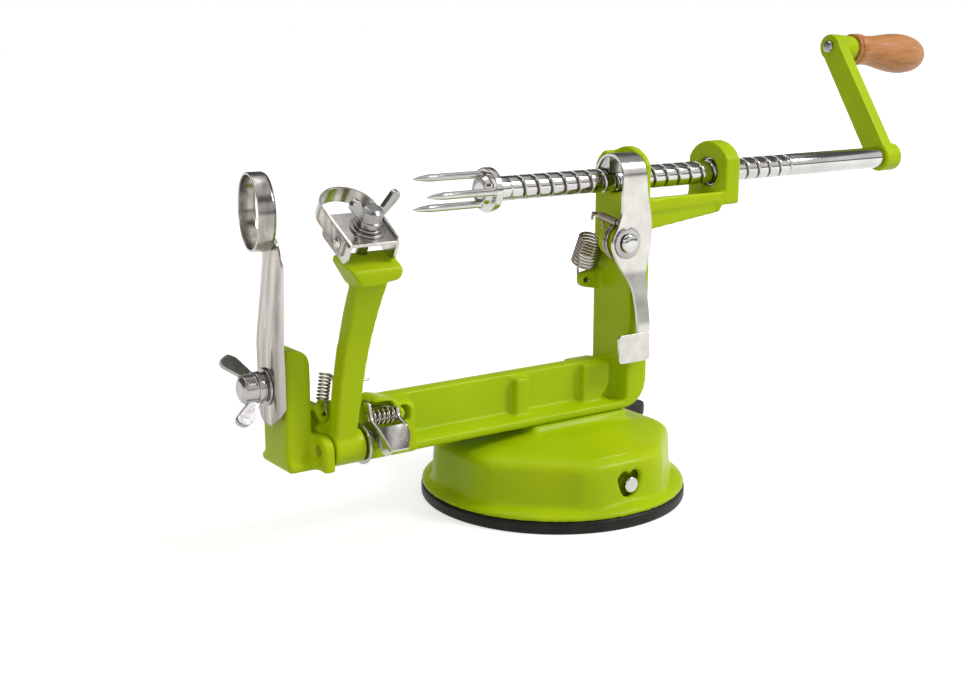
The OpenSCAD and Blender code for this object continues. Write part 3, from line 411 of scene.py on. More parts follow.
def castingFrom(name, node, cell, rounds, hold=None, added=()):
    # the CAD casting, remeshed to even cells whose points are drawn to the mean of their
    # neighbours, so that every edge and hollow corner is rounded as in a mould; hold gives points
    # that stay where they are, and the closed grids in added are cast on
    shell = bmesh.new()
    shell.from_mesh(cadNodes[node].data)
    for grid in added:
        part = newSurface(name + "Added", [grid])
        shell.from_mesh(part.data)
        bpy.data.objects.remove(part)
    bmesh.ops.remove_doubles(shell, verts=shell.verts, dist=0.001 * mm)
    piece = pieceFrom(name, shell)
    cells = piece.modifiers.new("cells", "REMESH")
    cells.mode, cells.voxel_size, cells.use_smooth_shade = "VOXEL", cell * mm, True
    mesh = bpy.data.meshes.new_from_object(
        piece.evaluated_get(bpy.context.evaluated_depsgraph_get()))
    piece.modifiers.clear()
    piece.data = mesh
    points = np.empty(len(mesh.vertices) * 3)
    mesh.vertices.foreach_get("co", points)
    points = points.reshape(-1, 3) / mm
    edges = np.empty(len(mesh.edges) * 2, int)
    mesh.edges.foreach_get("vertices", edges)
    a, b = edges.reshape(-1, 2).T
    count = len(points)
    neighbours = np.bincount(np.concatenate([a, b]), minlength=count)[:, None]
    share = 0.5 * (np.ones(count) if hold is None else 1 - hold(*points.T))[:, None]
    for _ in range(rounds):
        total = np.stack([np.bincount(a, points[b, k], count) + np.bincount(b, points[a, k], count)
                          for k in range(3)], 1)
        points += (total / neighbours - points) * share
    mesh.vertices.foreach_set("co", (points * mm).ravel())
    mesh.update()
    mesh.shade_smooth()
    return piece


def pressedFrom(name, node, width):
    # the CAD piece, merged and with its faces made whole, its edges rounded off
    shell = bmesh.new()
    shell.from_mesh(cadNodes[node].data)
    bmesh.ops.remove_doubles(shell, verts=shell.verts, dist=0.001 * mm)
    bmesh.ops.dissolve_limit(shell, angle_limit=np.radians(1), verts=shell.verts,
                             edges=shell.edges)
    piece = pieceFrom(name, shell)
    piece.data.shade_smooth()
    edge = piece.modifiers.new("edge", "BEVEL")
    edge.width, edge.segments, edge.angle_limit = width * mm, 2, np.radians(35)
    edge.harden_normals, edge.use_clamp_overlap = True, True
    return piece


def bentSheet(piece, thickness, rim=0.2):
    # a middle surface gets the sheet's thickness and rounded edges
    wall = piece.modifiers.new("wall", "SOLIDIFY")
    wall.thickness, wall.offset, wall.use_even_offset = thickness * mm, 0, True
    edge = piece.modifiers.new("edge", "BEVEL")
    edge.width, edge.segments, edge.angle_limit = rim * mm, 2, np.radians(50)
    edge.harden_normals = True
    return piece


print("stage: castings")
finished(castingFrom("mainCasting", "frame", 0.62, 7), "frame")

cover = {"rimTop": 9.5, "rimFade": 1.5, "windowX": 1.1, "windowZ": 14.8, "windowReach": 11,
         "windowFade": 2, "frontY": -38, "kept": 0.85}


def coverHold(x, y, z):
    # the thin rim and the surroundings of the heart-shaped window keep their shape
    rim = np.clip((cover["rimTop"] - z) / cover["rimFade"], 0, 1)
    away = np.hypot(x - cover["windowX"], z - cover["windowZ"])
    window = np.clip((cover["windowReach"] - away) / cover["windowFade"], 0, 1)
    return np.maximum(rim, window * (y < cover["frontY"])) * cover["kept"]


finished(castingFrom("coverCasting", "base_cover", 0.7, 24, coverHold), "base_cover")
finished(castingFrom("armCasting", "peel_arm", 0.4, 8), "peel_arm")

crank = {"x": 183, "lean": np.radians(33.6), "reach": 58.2, "webX": (183.05, 189.55),
         "webFrom": 1, "webTo": 57.5, "webLow": 5.7, "webHigh": 5.35}


def crankWeb(c, rows=16):
    # the flat web between the crank's two bosses, as wide as they are: a box section carried up
    # the leaning arm, a little narrower towards its end
    up = np.linspace(c["webFrom"], c["webTo"], rows)
    half = np.linspace(c["webLow"], c["webHigh"], rows)
    low, high = c["webX"]
    corner = np.array([[low, -1], [high, -1], [high, 1], [low, 1]])
    x = np.broadcast_to(corner[:, 0], (rows, 4))
    across = half[:, None] * corner[:, 1]
    sine, cosine = np.sin(c["lean"]), np.cos(c["lean"])
    y = up[:, None] * sine + across * cosine
    z = shaftZ + up[:, None] * cosine - across * sine
    points = np.stack([x, y, z], -1)
    ends = [np.broadcast_to(points[k].mean(axis=0), (1, 4, 3)) for k in (0, -1)]
    return np.concatenate([ends[0], points, ends[1]]), False, True


finished(castingFrom("crankCasting", "crank_arm", 0.45, 8, added=[crankWeb(crank)]), "crank_arm")
finished(castingFrom("frontWingNut", "front_wing_nut", 0.22, 3), "front_wing_nut")
finished(castingFrom("topWingNut", "top_wing_nut", 0.2, 3), "top_wing_nut")


print("stage: feed screw and crank")
screw = {"radius": 4.7, "pitch": 6.4, "turns": 24, "start": -27.3, "depth": 0.8,
         "halfGroove": 0.72, "hollow": 0.8, "crown": 0.05, "runOut": 0.7, "sides": 60,
         "frontX": -35.2, "rearX": 124.2, "endRadius": 4.72}


def feedScrew(s):
    # one groove wound round the shaft: the profile of one pitch, each turn shifted along by its
    # angle; the groove is a cosine across, the land between the grooves is slightly crowned,
    # and the groove runs out at the rear
    edge = s["halfGroove"]
    fine = edge * np.array([-1, -0.8, -0.55, -0.3, 0, 0.3, 0.55, 0.8])
    land = np.linspace(edge, s["pitch"] - edge, 9)[:-1]
    across = np.concatenate([fine, land])
    dip = np.cos(np.clip(across / edge, -1, 1) * np.pi / 2) ** s["hollow"]
    sunk = np.where(np.abs(across) < edge, s["depth"] * dip, 0)
    middle = (across - s["pitch"] / 2) / (s["pitch"] / 2)
    crowned = s["crown"] * np.where(across >= edge, middle ** 2, 1)
    turn = np.arange(s["turns"])
    angle = np.linspace(0, 2 * np.pi, s["sides"] + 1)
    columns = len(angle)
    x = (s["start"] + turn[:, None, None] * s["pitch"] + across[None, :, None]
         + s["pitch"] * angle[None, None, :] / (2 * np.pi)).reshape(-1, columns)
    drop = np.broadcast_to((sunk + crowned)[None, :, None], (len(turn), len(across), columns))
    end = s["start"] + s["pitch"] * (s["turns"] - 0.2)
    fade = np.clip((end - x) / (s["runOut"] * s["pitch"]), 0, 1)
    radius = s["radius"] - drop.reshape(-1, columns) * fade
    points = np.stack([x, radius * np.cos(angle), shaftZ + radius * np.sin(angle)], -1)
    return points, False, False


plain = screw["endRadius"]
frontEnd = [[0, 0], [0, 3.4], [5.5, 3.4], [5.5, plain], [11.6, plain], [11.6, 0]]
rearEnd = [[0, 0], [0, plain], [58.6, plain], [58.6, 3.6], [68.8, 3.6], [68.8, 0]]
finished(newSurface("feedScrew", [
    feedScrew(screw),
    turned(softCorners(frontEnd, 0.3, 3), (screw["frontX"], 0, shaftZ), (1, 0, 0), 60),
    turned(softCorners(rearEnd, 0.3, 3), (screw["rearX"], 0, shaftZ), (1, 0, 0), 60)]),
    "feed_screw")

fork = {"hub": 8.4, "ring": 6.4, "faceX": -30, "prongX": -32, "prongs": np.radians([90, 210, 330])}
hubSection = softCorners([[0, 3.4], [0, fork["hub"]], [3, fork["hub"]], [3.1, 5.7], [5.4, 4.8],
                          [5.4, 3.4]], 0.5, 4, True)
prong = [[0, 0], [0, 1.9], [1.4, 1.7], [2, 1.4], [23, 1.4], [27, 0.95], [29.4, 0.45], [30, 0.2],
         [30.05, 0]]
forkGrids = [turned(hubSection, (fork["faceX"], 0, shaftZ), (-1, 0, 0), 64, True)]
for prongTurn in fork["prongs"]:
    foot = (fork["prongX"], -fork["ring"] * np.sin(prongTurn),
            shaftZ + fork["ring"] * np.cos(prongTurn))
    forkGrids.append(turned(prong, foot, (-1, 0, 0), 20))
forkPiece = newSurface("fruitFork", forkGrids)

finished(newSurface("rearBush", [
    turned(washerProfile(4.8, 6.4, 6.3, 0.5), (80.1, 0, shaftZ), (1, 0, 0), 48, True)]),
    "rear_bush")

grip = {"droop": np.radians(4.6), "collarAt": 14.7, "profile": [
    [16.6, 0], [16.6, 6.3], [17, 6.95], [18.2, 7.25], [20, 7.15], [22.4, 6.8], [25, 6.75],
    [28, 6.95], [32, 7.5], [37, 8.3], [42, 8.95], [46, 9.2], [50, 9.15], [54, 8.6], [57.6, 7.7],
    [60.4, 6.4], [62.4, 4.9], [63.6, 3.2], [64.15, 1.5], [64.3, 0]]}
gripAt = np.array([crank["x"], crank["reach"] * np.sin(crank["lean"]),
                   shaftZ + crank["reach"] * np.cos(crank["lean"])])
gripAxis = np.array([np.cos(grip["droop"]), 0, -np.sin(grip["droop"])])
gripCurve = smoothCurve(grip["profile"], 90)
gripCurve[:, 1] = np.maximum(gripCurve[:, 1], 0)
gripCurve[[0, -1], 1] = 0
gripPinProfile = [[-1.5, 0], [-1.5, 1.8], [-1.1, 2.4], [-0.6, 2.8], [-0.55, 2.4], [15, 2.4],
              [15.1, 2.2], [57.6, 2.2], [57.6, 0]]
finished(newSurface("turnedGrip", [turned(gripCurve, gripAt, gripAxis, 72)]), "handle")
finished(newSurface("gripCollar", [
    turned(washerProfile(2.4, 7, 1.6, 0.4), gripAt + grip["collarAt"] * gripAxis, gripAxis, 64,
           True)]), "handle_collar")
finished(newSurface("gripPin", [turned(softCorners(gripPinProfile, 0.3, 3), gripAt, gripAxis, 40)]),
         "handle_pin")
finished(forkPiece, "fruit_fork")


print("stage: coring blade")
blade = {"face": -125.4, "studY": -2, "studZ": 61.8, "foot": 48.4, "footRise": 7, "bendZ": 76,
         "topZ": 113, "lean": 3.4, "thickness": 1, "soften": 2.6,
         "ringTurn": np.radians(-10), "ringX": -125.1, "ringZ": 121.6}


def easedRise(z, bendZ):
    # heights near the bend are drawn together, so that the strip bends over a few millimetres
    return np.where(z < bendZ, z, z - 1.2 * (1 - np.exp(-(np.maximum(z, bendZ) - bendZ) / 4)))


def coringStrip(b):
    # a channel whose middle and flanges are one bent line at each height, from the round foot
    # to the ring; half its width and the depth of its flanges run evenly between given heights
    low = b["foot"] + b["thickness"] / 2
    z = np.unique(np.concatenate([np.linspace(low, 56, 16), np.linspace(56, b["topZ"], 60)]))
    bent = np.interp(easedRise(z, b["bendZ"]), [b["bendZ"], 106], [0, b["lean"]])
    x = b["face"] + b["thickness"] / 2 + bent
    rounding = np.clip((z - low) / b["footRise"], 0, 1)
    half = np.interp(z, [49, 78, 92, 104, 108, 111, 113], [7.5, 7.5, 6.9, 6.6, 6, 4.8, 3])
    half = half * np.sqrt(1 - (1 - rounding) ** 2 * 0.92)
    middle = np.full_like(z, b["studY"] - 0.4)
    flange = np.interp(z, [49, 51, 55, 70, 88, 104, 107], [0.02, 0.6, 3.2, 3.2, 2.6, 1.3, 0.02])
    corners = np.stack([np.stack([x + out * flange, middle + side * half, z], -1)
                        for out, side in ((1, -1), (0, -1), (0, 0), (0, 1), (1, 1))], 1)
    return softCorners(corners, b["soften"], 7), False, False


strip = bentSheet(newSurface("coringStrip", [coringStrip(blade)], merge=False), blade["thickness"])
ringAxis = (np.cos(blade["ringTurn"]), np.sin(blade["ringTurn"]), 0)
ringSection = softCorners([[-3.1, 12.45], [-3.1, 13.4], [2.2, 13.4], [3.1, 12.9], [3.1, 12.55],
                           [2.2, 12.4]], 0.3, 3, True)
finished(newSurface("coringRing", [
    turned(ringSection, (blade["ringX"], 0, blade["ringZ"]), ringAxis, 96, True)]),
    "slicing_blade")
finished(strip, "slicing_blade")

studProfile = [[-11, 0], [-11, 2], [10.1, 2], [10.1, 4.6], [10.6, 4.5], [11.6, 3.4], [12, 1.6],
               [12.1, 0]]
finished(newSurface("bladeStud", [
    turned(softCorners(studProfile, 0.3, 3), (-121.5, blade["studY"], blade["studZ"]), (1, 0, 0),
           40)]), "blade_stud")
finished(newSurface("bladeWashers", [
    turned(washerProfile(2.1, radius, height), (x, blade["studY"], blade["studZ"]), (-1, 0, 0), 48,
           True) for x, radius, height in ((-125.46, 6.6, 0.9), (-126.41, 5, 1))]),
    "blade_washers")


print("stage: peel arm's head")
holder = {"at": np.array([-101, -29, 117.9]), "tilt": np.radians(28), "half": 9.5, "front": -9,
          "rear": 8.6, "drop": 8.2, "thickness": 1.2, "endRound": 2, "bend": 1}
holderAcross = np.array([1.0, 0, 0])
holderUp = np.array([0, -np.sin(holder["tilt"]), np.cos(holder["tilt"])])
holderAlong = np.array([0, np.cos(holder["tilt"]), np.sin(holder["tilt"])])
boltFoot = holder["at"] + holderAcross - holderAlong
finished(newSurface("peelWashers", [
    turned(washerProfile(2.1, radius, height), boltFoot + above * holderUp, holderUp, 48, True)
    for above, radius, height in ((0.06, 6, 0.9), (1.01, 4.9, 1))]), "peel_washers")
finished(newSurface("peelBolt", [
    turned(softCorners([[-15, 0], [-15, 2], [6.1, 2], [6.1, 0]], 0.3, 3), boltFoot, holderUp,
           32)]), "peel_bolt")


def onHolder(x, y, z, turn=0.0, origin=(0, 0, 0)):
    # points of the holder's own plate, tilted with it; turn and origin place the loop on its
    # rivets
    y, z = (y * np.cos(turn) - z * np.sin(turn) + origin[1],
            y * np.sin(turn) + z * np.cos(turn) + origin[2])
    return (holder["at"] + (x + origin[0])[..., None] * holderAcross
            + y[..., None] * holderAlong + z[..., None] * holderUp)


def holderChannel(h):
    # the plate and its two folded sides, one bent line carried from front to back; the sides'
    # ends are rounded as quarter circles
    edge = np.array([0, 0.15, 0.4, 0.8, 1.3, 2])
    y = np.concatenate([h["front"] + edge, np.linspace(h["front"] + 3, h["rear"] - 3, 14),
                        h["rear"] - edge[::-1]])
    half = h["half"] - h["thickness"] / 2
    ends = np.clip(np.minimum(y - h["front"], h["rear"] - y) / h["endRound"], 0, 1)
    drop = h["drop"] - h["endRound"] + h["endRound"] * np.sqrt(1 - (1 - ends) ** 2)
    top = np.full_like(y, -h["thickness"] / 2)
    corners = np.stack([np.stack([np.full_like(y, x), y, z], -1) for x, z in
                        ((-half, -drop), (-half, top), (half, top), (half, -drop))], 1)
    line = softCorners(corners, h["bend"], 4)
    return onHolder(line[..., 0], line[..., 1], line[..., 2]), False, False


finished(bentSheet(newSurface("bladeHolder", [holderChannel(holder)], merge=False),
                   holder["thickness"], 0.25), "blade_holder")

loop = {"radius": 9.9, "bend": 14, "foot": -3.4, "half": 3, "thickness": 0.8,
        "rise": np.radians(5), "origin": (0, -3, -3)}


def peelLoop(s):
    # two straight legs and a half circle, a band of even height
    angle = np.linspace(0, np.pi, 40)
    leg = np.linspace(s["foot"], s["bend"], 8)[:-1]
    sideX = np.full_like(leg, s["radius"])
    x = np.concatenate([sideX, s["radius"] * np.cos(angle), -sideX])
    y = np.concatenate([leg, s["bend"] + s["radius"] * np.sin(angle), leg[::-1]])
    z = np.linspace(-s["half"], s["half"], 7)
    x, y, z = np.broadcast_arrays(x[:, None], y[:, None], z[None])
    return onHolder(x, y, z, s["rise"], s["origin"]), False, False


finished(bentSheet(newSurface("peelLoop", [peelLoop(loop)], merge=False), loop["thickness"], 0.15),
         "peel_blade")
rivetProfile = [[7.6, 0], [7.6, 1.7], [8.3, 1.7], [8.35, 1.2], [10.3, 1.2], [10.32, 2],
                [10.8, 1.7], [11.1, 0.9], [11.15, 0]]
rivetAt = holder["at"] - 3 * holderAlong - 3 * holderUp
finished(newSurface("loopRivets", [
    turned(softCorners(rivetProfile, 0.25, 3), rivetAt, (side, 0, 0), 28) for side in (-1, 1)]),
    "blade_rivets")


print("stage: latch")
armPivot = {"y": -12.4, "z": 38.6, "washerX": -94.7}
armPinProfile = [[-110.9, 0], [-110.9, 2.5], [-93.5, 2.5], [-93.5, 4], [-92.9, 3.9], [-92.6, 3.2],
              [-92.55, 0]]
finished(newSurface("armPin", [
    turned(softCorners(armPinProfile, 0.3, 3), (0, armPivot["y"], armPivot["z"]), (1, 0, 0), 36)]),
    "arm_pivot_pin")
finished(newSurface("armWasher", [
    turned(washerProfile(2.6, 7.4, 1), (armPivot["washerX"], armPivot["y"], armPivot["z"]),
           (1, 0, 0), 56, True)]), "arm_washer")
finished(pressedFrom("armLatch", "arm_latch", 0.22), "arm_latch")

latch = {"y": -13.4, "z": 47.6, "coilFrom": -82.2, "coilTo": -90.4, "coilRadius": 2.6,
         "turns": 4.25, "wire": 0.45}
latchPinProfile = [[-92.5, 0], [-92.5, 1.6], [-77.6, 1.6], [-77.6, 0]]
finished(newSurface("latchPin", [
    turned(softCorners(latchPinProfile, 0.25, 3), (0, latch["y"], latch["z"]), (1, 0, 0), 28)]),
    "latch_pin")
latchWire = np.concatenate([
    [[-88.6, -5.4, 49.4], [-87.6, -7, 49.8], [-84.6, -10.6, 50.3]],
    coilPoints((latch["coilFrom"], latch["y"], latch["z"]),
               (latch["coilTo"], latch["y"], latch["z"]),
               latch["coilRadius"], latch["turns"], (0, 0, 1), -1),
    [[-90.4, -16.4, 45], [-90.4, -18.8, 43.4], [-90.4, -23, 41.4]]])
latchSpring = newSurface("latchSpring", [tube(easedPath(latchWire, 0.35, 2), latch["wire"])])
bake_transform(latchSpring, "stand", "latch", (-88 * mm, -9 * mm, 50 * mm),
         (-90 * mm, -18 * mm, 43.6 * mm))
finished(latchSpring, "latch_spring")


print("stage: release lever")
# left and right edges as (height, x), with the hood's length round its bend as height; the middle
# line below the hood as (y, z)
lever = {"thickness": 1.2, "hoodY": -5, "hoodZ": 124.9, "hoodRadius": 8, "hoodFrom": 16,
         "faceY": -13.6, "pivotX": 25, "pivotZ": 99.3, "tabFoot": 52, "tabTop": 63.4,
         "tabLeft": 19.4, "tabWidth": 15.6, "tabCorner": 1.5,
         "line": [[-13, 110], [-13, 92], [-13.1, 88], [-14.4, 77], [-15.9, 66], [-16.3, 58],
                  [-16.4, 50]],
         "left": [[63, 29.3], [64, 29.2], [74, 28.6], [79, 27.9], [83, 26.3], [87, 23.8],
                  [92, 20.4], [96, 18.3], [99, 17.7], [102, 18.4], [106, 20.6], [110, 22],
                  [118, 22.4], [160, 22.4]],
         "right": [[63, 35.1], [68, 35.3], [73, 35.2], [80, 34.8], [87, 34.9], [92, 36.2],
                   [97, 37.3], [102, 37.5], [108, 37.2], [116, 35.6], [124, 34.6], [160, 34.4]]}


def leverLine(low, high, count):
    # the bent middle line of the sheet, from high, or from the end of the hood, down to low;
    # returns y, z and the length left to the hood's lower end, which is above 0 on the hood
    sweep = np.radians(np.linspace(lever["hoodFrom"], 180, 60))
    hood = np.stack([lever["hoodY"] + lever["hoodRadius"] * np.cos(sweep),
                     lever["hoodZ"] + lever["hoodRadius"] * np.sin(sweep)], 1)
    flat = np.pad(np.concatenate([hood, lever["line"]]), ((0, 0), (1, 0)))
    line = easedPath(flat, 0.5, 6)[:, 1:]
    along = np.concatenate([[0], np.cumsum(np.linalg.norm(np.diff(line, axis=0), axis=1))])
    behind = line[:, 0] > -9  # the hood's other end is at the same height
    lastOfHood = along[np.argmin(np.abs(line[:, 1] - lever["hoodZ"]) + behind * 99)]
    inPlate = along > lastOfHood
    start = 0 if high is None else np.interp(-high, -line[inPlate, 1], along[inPlate])
    end = np.interp(-low, -line[inPlate, 1], along[inPlate])
    at = np.linspace(start, end, count)
    return np.interp(at, along, line[:, 0]), np.interp(at, along, line[:, 1]), lastOfHood - at


def leverGrid(left, width, y, z, columns):
    # even columns from the left edge over the width, at each point of the middle line
    x = left[:, None] + width[:, None] * np.linspace(0, 1, columns)
    return np.stack(np.broadcast_arrays(x, y[:, None], z[:, None]), -1), False, False


def leverSheet():
    # left and right edges as smooth lines of height, on the hood of length round the bend
    y, z, above = leverLine(63.2, None, 150)
    height = np.where(above > 0, lever["hoodZ"] + above, z)
    edges = [smoothCurve(lever[side], 400) for side in ("left", "right")]
    left, right = (np.interp(height, edge[:, 0], edge[:, 1]) for edge in edges)
    return leverGrid(left, right - left, y, z, 12)


def leverTab():
    # the wide thumb tab at the lever's foot; its corners are quarter circles
    corner = lever["tabCorner"]
    y, z, _ = leverLine(lever["tabFoot"], lever["tabTop"], 24)
    toEnd = np.minimum(z - lever["tabFoot"], lever["tabTop"] - z)
    out = np.clip(corner - toEnd, 0, corner)
    inset = corner - np.sqrt(np.clip(corner ** 2 - out ** 2, 0, None))
    return leverGrid(lever["tabLeft"] + inset, lever["tabWidth"] - 2 * inset, y, z, 14)


finished(bentSheet(newSurface("releaseLever", [leverSheet(), leverTab()], merge=False),
                   lever["thickness"], 0.25), "release_lever")

# the ear behind the sheet: a rod bound with wire that ends under the spring's hook
ear = {"rod": 0.85, "wire": 0.45, "coilRadius": 1.15, "turns": 10.5}
earPath = easedPath([[22.6, -13, 106.4], [22.4, -11, 106.8], [21.8, -6, 108.4],
                     [21.4, -1, 109.2], [21.4, 3.4, 109.2]], 0.4, 4)
earCoil = coilPoints((22.3, -10.6, 107), (21.4, -0.2, 109.2), ear["coilRadius"], ear["turns"],
                     (0, 0, 1))
finished(newSurface("leverEar", [tube(earPath, ear["rod"], 12), tube(earCoil, ear["wire"], 8)]),
         "release_lever", slot="spring_steel")

leverFace = (lever["pivotX"], lever["faceY"], lever["pivotZ"])
screwProfile = [[-12, 0], [-12, 2], [1.2, 2], [1.22, 3.9], [1.9, 3.75], [2.5, 3.1], [2.85, 2],
                [2.95, 0.9], [2.96, 0]]
finished(newSurface("leverScrew", [
    turned(softCorners(screwProfile, 0.35, 3), leverFace, (0, -1, 0), 48)]), "lever_screw")
finished(newSurface("leverWasher", [
    turned(washerProfile(2.6, 6.2, 0.8, 0.3), leverFace, (0, -1, 0), 56, True)]), "lever_washer")

pivotCoil = {"radius": 7.1, "turns": 2.25, "wire": 0.55, "fromY": -10.6, "toY": -7}
pivotWire = np.concatenate([
    [[22, -10.7, 106.7]],
    coilPoints((lever["pivotX"], pivotCoil["fromY"], lever["pivotZ"]),
               (lever["pivotX"], pivotCoil["toY"], lever["pivotZ"]),
               pivotCoil["radius"], pivotCoil["turns"], (0, 0, 1)),
    [[31.9, -7, 98.1]]])
finished(newSurface("pivotCoil", [tube(easedPath(pivotWire, 0.4, 2), pivotCoil["wire"])]),
         "lever_coil")

# the lever's spring: lower hook in the frame's lug, coil, and a hook over the ear
pull = {"radius": 5.1, "turns": 8.5, "wire": 0.5, "from": (21.6, 8.7, 88.7),
        "to": (21.6, 3.7, 99.3)}
pullWire = np.concatenate([
    [[21.4, 4.8, 82.2], [21.4, 7, 82], [21.4, 10.6, 82], [21.6, 12.6, 83], [21.8, 13.2, 85.6],
     [21.9, 13, 88.6]],
    coilPoints(pull["from"], pull["to"], pull["radius"], pull["turns"], (0, 1, 0.4)),
    [[22.4, -1.2, 100.6], [23.4, -0.8, 104.4], [23.8, 0.4, 107.8], [23, 1.5, 109.3],
     [21.4, 1.7, 109.5], [19.8, 1.6, 109], [19.2, 1.3, 107.2]]])
leverSpring = newSurface("leverSpring", [tube(easedPath(pullWire, 0.4, 2), pull["wire"])])
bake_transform(leverSpring, "stand", "rocker", (21.9 * mm, 9 * mm, 86 * mm),
         (21.4 * mm, 1.7 * mm, 107 * mm))
finished(leverSpring, "lever_spring")

# the arm's spring: hook in the post's lug, coil, and a long leg behind the arm
draw = {"radius": 2, "turns": 8, "wire": 0.4, "from": (-105.9, -6.4, 54.6),
        "to": (-104.4, -6.4, 64.4)}
drawWire = np.concatenate([
    [[-106, -6.2, 50.2], [-106, -8.2, 50.2], [-106, -9.4, 50.8], [-105.9, -9.3, 52.6]],
    coilPoints(draw["from"], draw["to"], draw["radius"], draw["turns"], (0, -1, 0)),
    [[-103.2, -8.5, 64.2], [-102.6, -8.3, 62.2], [-101.9, -8, 60.9], [-98, -8, 60.6],
     [-92, -8, 60.3], [-88, -8, 60.1]]])
armSpring = newSurface("armSpring", [tube(easedPath(drawWire, 0.35, 2), draw["wire"])])
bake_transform(armSpring, "stand", "arm", (-106 * mm, -9 * mm, 52 * mm),
         (-104 * mm, -9 * mm, 64.4 * mm))
finished(armSpring, "arm_spring")


print("stage: suction base")
# the pad's skin lies low under the stud, which comes down on it when the lever lets go
padProfile = [[0.7, 0], [0.7, 22], [0.3, 38], [0, 41], [0, 52.1], [0.8, 52.5], [3.9, 52.5],
              [4.8, 51.7], [4.8, 16], [7.4, 15], [7.4, 11.4], [6.7, 11.4], [6.7, 12.3],
              [1.5, 12.3], [1.5, 0]]
finished(newSurface("suctionPad", [
    turned(softCorners(padProfile, 0.4, 3), (0, 0, 0), (0, 0, 1), 128)]), "suction_pad")

cam = {"x": 2.5, "z": 14, "throw": 2.13, "radius": 3, "eccentric": 5.3, "halfEccentric": 5.4}
shaftProfile = [[-46.3, 0], [-46.3, 2.8], [-45.9, 3.15], [-42, 3.15], [-41.8, cam["radius"]],
                [52.4, cam["radius"]], [52.4, 0]]
eccentricProfile = [[-cam["halfEccentric"], 0], [-cam["halfEccentric"], cam["eccentric"]],
                    [cam["halfEccentric"], cam["eccentric"]], [cam["halfEccentric"], 0]]
finished(newSurface("camShaft", [
    turned(softCorners(shaftProfile, 0.3, 3), (cam["x"], 0, cam["z"]), (0, 1, 0), 40),
    turned(softCorners(eccentricProfile, 0.3, 3), (cam["x"], 0, cam["z"] + cam["throw"]),
           (0, 1, 0), 48)]), "cam_shaft")
finished(pressedFrom("suctionLever", "suction_lever", 0.3), "suction_lever")
finished(castingFrom("leverGrip", "lever_grip", 0.35, 34), "lever_grip")


print("stage: studio")
scene = bpy.context.scene
studio = {"eye": (-328.2, -430.3, 186.0), "right": (0.8243, -0.5661, 0),
          "up": (0.1309, 0.1906, 0.9728), "ahead": (0.5507, 0.8019, -0.2312), "lens": 52.46}
view = bpy.data.cameras.new("studioCamera")
view.lens, view.sensor_width, view.clip_end = studio["lens"], 36, 50
camera = bpy.data.objects.new("studioCamera", view)
scene.collection.objects.link(camera)
axes = Matrix([studio["right"], studio["up"], [-v for v in studio["ahead"]]])
place = Matrix.Translation([v * mm for v in studio["eye"]])
camera.matrix_world = place @ axes.transposed().to_4x4()
scene.camera = camera


def softLamp(name, at, aim, size, power, tint="#FFFFFF"):
    # a round lamp of some width at one point, turned towards another, in metres and watts
    data = bpy.data.lights.new(name, "AREA")
    data.shape, data.size, data.energy, data.color = "DISK", size, power, linearColour(tint)[:3]
    lamp = bpy.data.objects.new(name, data)
    scene.collection.objects.link(lamp)
    turn = (Vector(aim) - Vector(at)).to_track_quat("-Z", "Y").to_matrix().to_4x4()
    lamp.matrix_world = Matrix.Translation(at) @ turn


softLamp("keyLamp", (0.75, -0.75, 1.0), (0.02, 0, 0.08), 0.5, 10)
softLamp("topLamp", (-0.1, 0.3, 1.3), (0.0, 0, 0.08), 0.7, 1.5)
softLamp("fillLamp", (-1.1, -0.5, 0.7), (0.05, 0, 0.12), 0.5, 2.2, "#FFEFD8")

# a white horizon, a wide bright window in front on the right and dim walls behind it, under a
# dark ceiling; each wall is (height, brightness), with 0 below, 0.5 at the horizon and 1 above
room = {"windowWay": (0.45, -0.89, 0), "fadeFrom": -0.15, "fadeTo": 0.45,
        "window": [(0.0, 1.0), (0.49, 1.0), (0.5, 0.1), (0.545, 0.1), (0.57, 0.9), (0.74, 0.9),
                   (0.78, 0.1), (0.86, 0.1), (0.92, 0.8), (1.0, 0.8)],
        "dimWalls": [(0.0, 1.0), (0.53, 1.0), (0.56, 0.12), (0.84, 0.1), (0.92, 0.8), (1.0, 0.8)]}
world = bpy.data.worlds.new("studioRoom")
world.use_nodes = True
scene.world = world
roomTree = world.node_tree
direction = addNode(roomTree, "ShaderNodeTexCoord").outputs["Generated"]
level = addNode(roomTree, "ShaderNodeSeparateXYZ", {"Vector": direction}).outputs["Z"]
height = addNode(roomTree, "ShaderNodeMapRange",
                 {"Value": level, "From Min": -1.0}).outputs["Result"]


def wallBands(bands):
    # brightness of a wall from the ground over the horizon to the ceiling
    wall = addNode(roomTree, "ShaderNodeValToRGB", {"Fac": height})
    while len(wall.color_ramp.elements) < len(bands):
        wall.color_ramp.elements.new(0.5)
    for element, (position, grey) in zip(wall.color_ramp.elements, bands):
        element.position, element.color = position, (grey, grey, grey, 1)
    return wall.outputs["Color"]


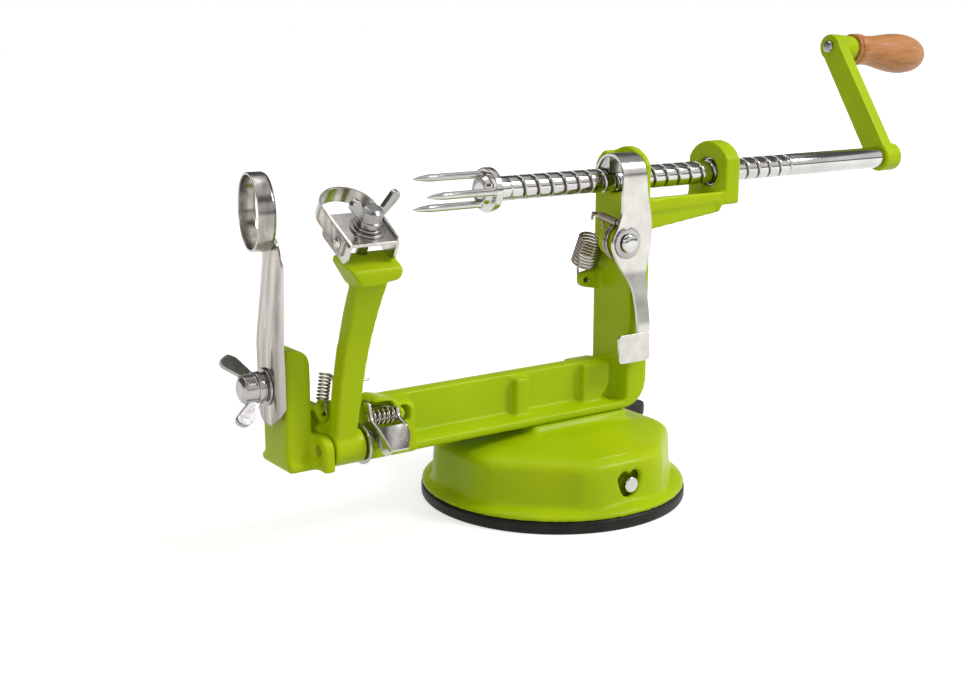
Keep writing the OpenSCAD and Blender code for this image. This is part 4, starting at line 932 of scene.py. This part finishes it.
facing = addNode(roomTree, "ShaderNodeVectorMath", {0: direction, 1: room["windowWay"]},
                 operation="DOT_PRODUCT").outputs["Value"]
share = addNode(roomTree, "ShaderNodeMapRange",
                {"Value": facing, "From Min": room["fadeFrom"], "From Max": room["fadeTo"]},
                interpolation_type="SMOOTHSTEP").outputs["Result"]
walls = addNode(roomTree, "ShaderNodeMix",
                {"Factor": share, 6: wallBands(room["dimWalls"]), 7: wallBands(room["window"])},
                data_type="RGBA").outputs[2]
background = roomTree.nodes["Background"]
roomTree.links.new(walls, background.inputs["Color"])
background.inputs["Strength"].default_value = 1.0

# the paper is a plain pale grey; what the camera and the bright metal see of it is lifted to
# white, less near the object, where its shadow lies
paper = {"halfSize": 6, "tone": "#CFCFCD", "liftNear": 0.62, "nearTo": 0.3, "farFrom": 1.6}
floorMesh = bpy.data.meshes.new("paleFloor")
floorMesh.from_pydata([(x * paper["halfSize"], y * paper["halfSize"], 0)
                       for x, y in ((-1, -1), (1, -1), (1, 1), (-1, 1))], [], [(0, 1, 2, 3)])
floor = bpy.data.objects.new("paleFloor", floorMesh)
scene.collection.objects.link(floor)
paperFinish, paperTree, paperShader, paperPlace = newFinish(
    "paleBackdropPaper", Roughness=0.9, Specular_IOR_Level=0.1)
paperShader.inputs["Base Color"].default_value = linearColour(paper["tone"])
rays = addNode(paperTree, "ShaderNodeLightPath").outputs
shown = addNode(paperTree, "ShaderNodeMath", {0: rays["Is Camera Ray"], 1: rays["Is Glossy Ray"]},
                operation="MAXIMUM").outputs["Value"]
shown = addNode(paperTree, "ShaderNodeMath", {0: shown, 1: rays["Is Transmission Ray"]},
                operation="MAXIMUM").outputs["Value"]
away = addNode(paperTree, "ShaderNodeVectorMath", {0: paperPlace},
               operation="LENGTH").outputs["Value"]
lift = addNode(paperTree, "ShaderNodeMapRange",
               {"Value": away, "From Min": paper["nearTo"], "From Max": paper["farFrom"],
                "To Min": paper["liftNear"], "To Max": 1.0}).outputs["Result"]
glow = addNode(paperTree, "ShaderNodeEmission", {"Strength": lift}).outputs["Emission"]
plainPaper = paperShader.outputs["BSDF"]
lifted = addNode(paperTree, "ShaderNodeAddShader", {0: plainPaper, 1: glow}).outputs["Shader"]
choice = addNode(paperTree, "ShaderNodeMixShader",
                 {0: shown, 1: plainPaper, 2: lifted}).outputs["Shader"]
paperTree.links.new(choice, paperTree.nodes["Material Output"].inputs["Surface"])
floorMesh.materials.append(paperFinish)
scene.view_settings.view_transform = "Standard"
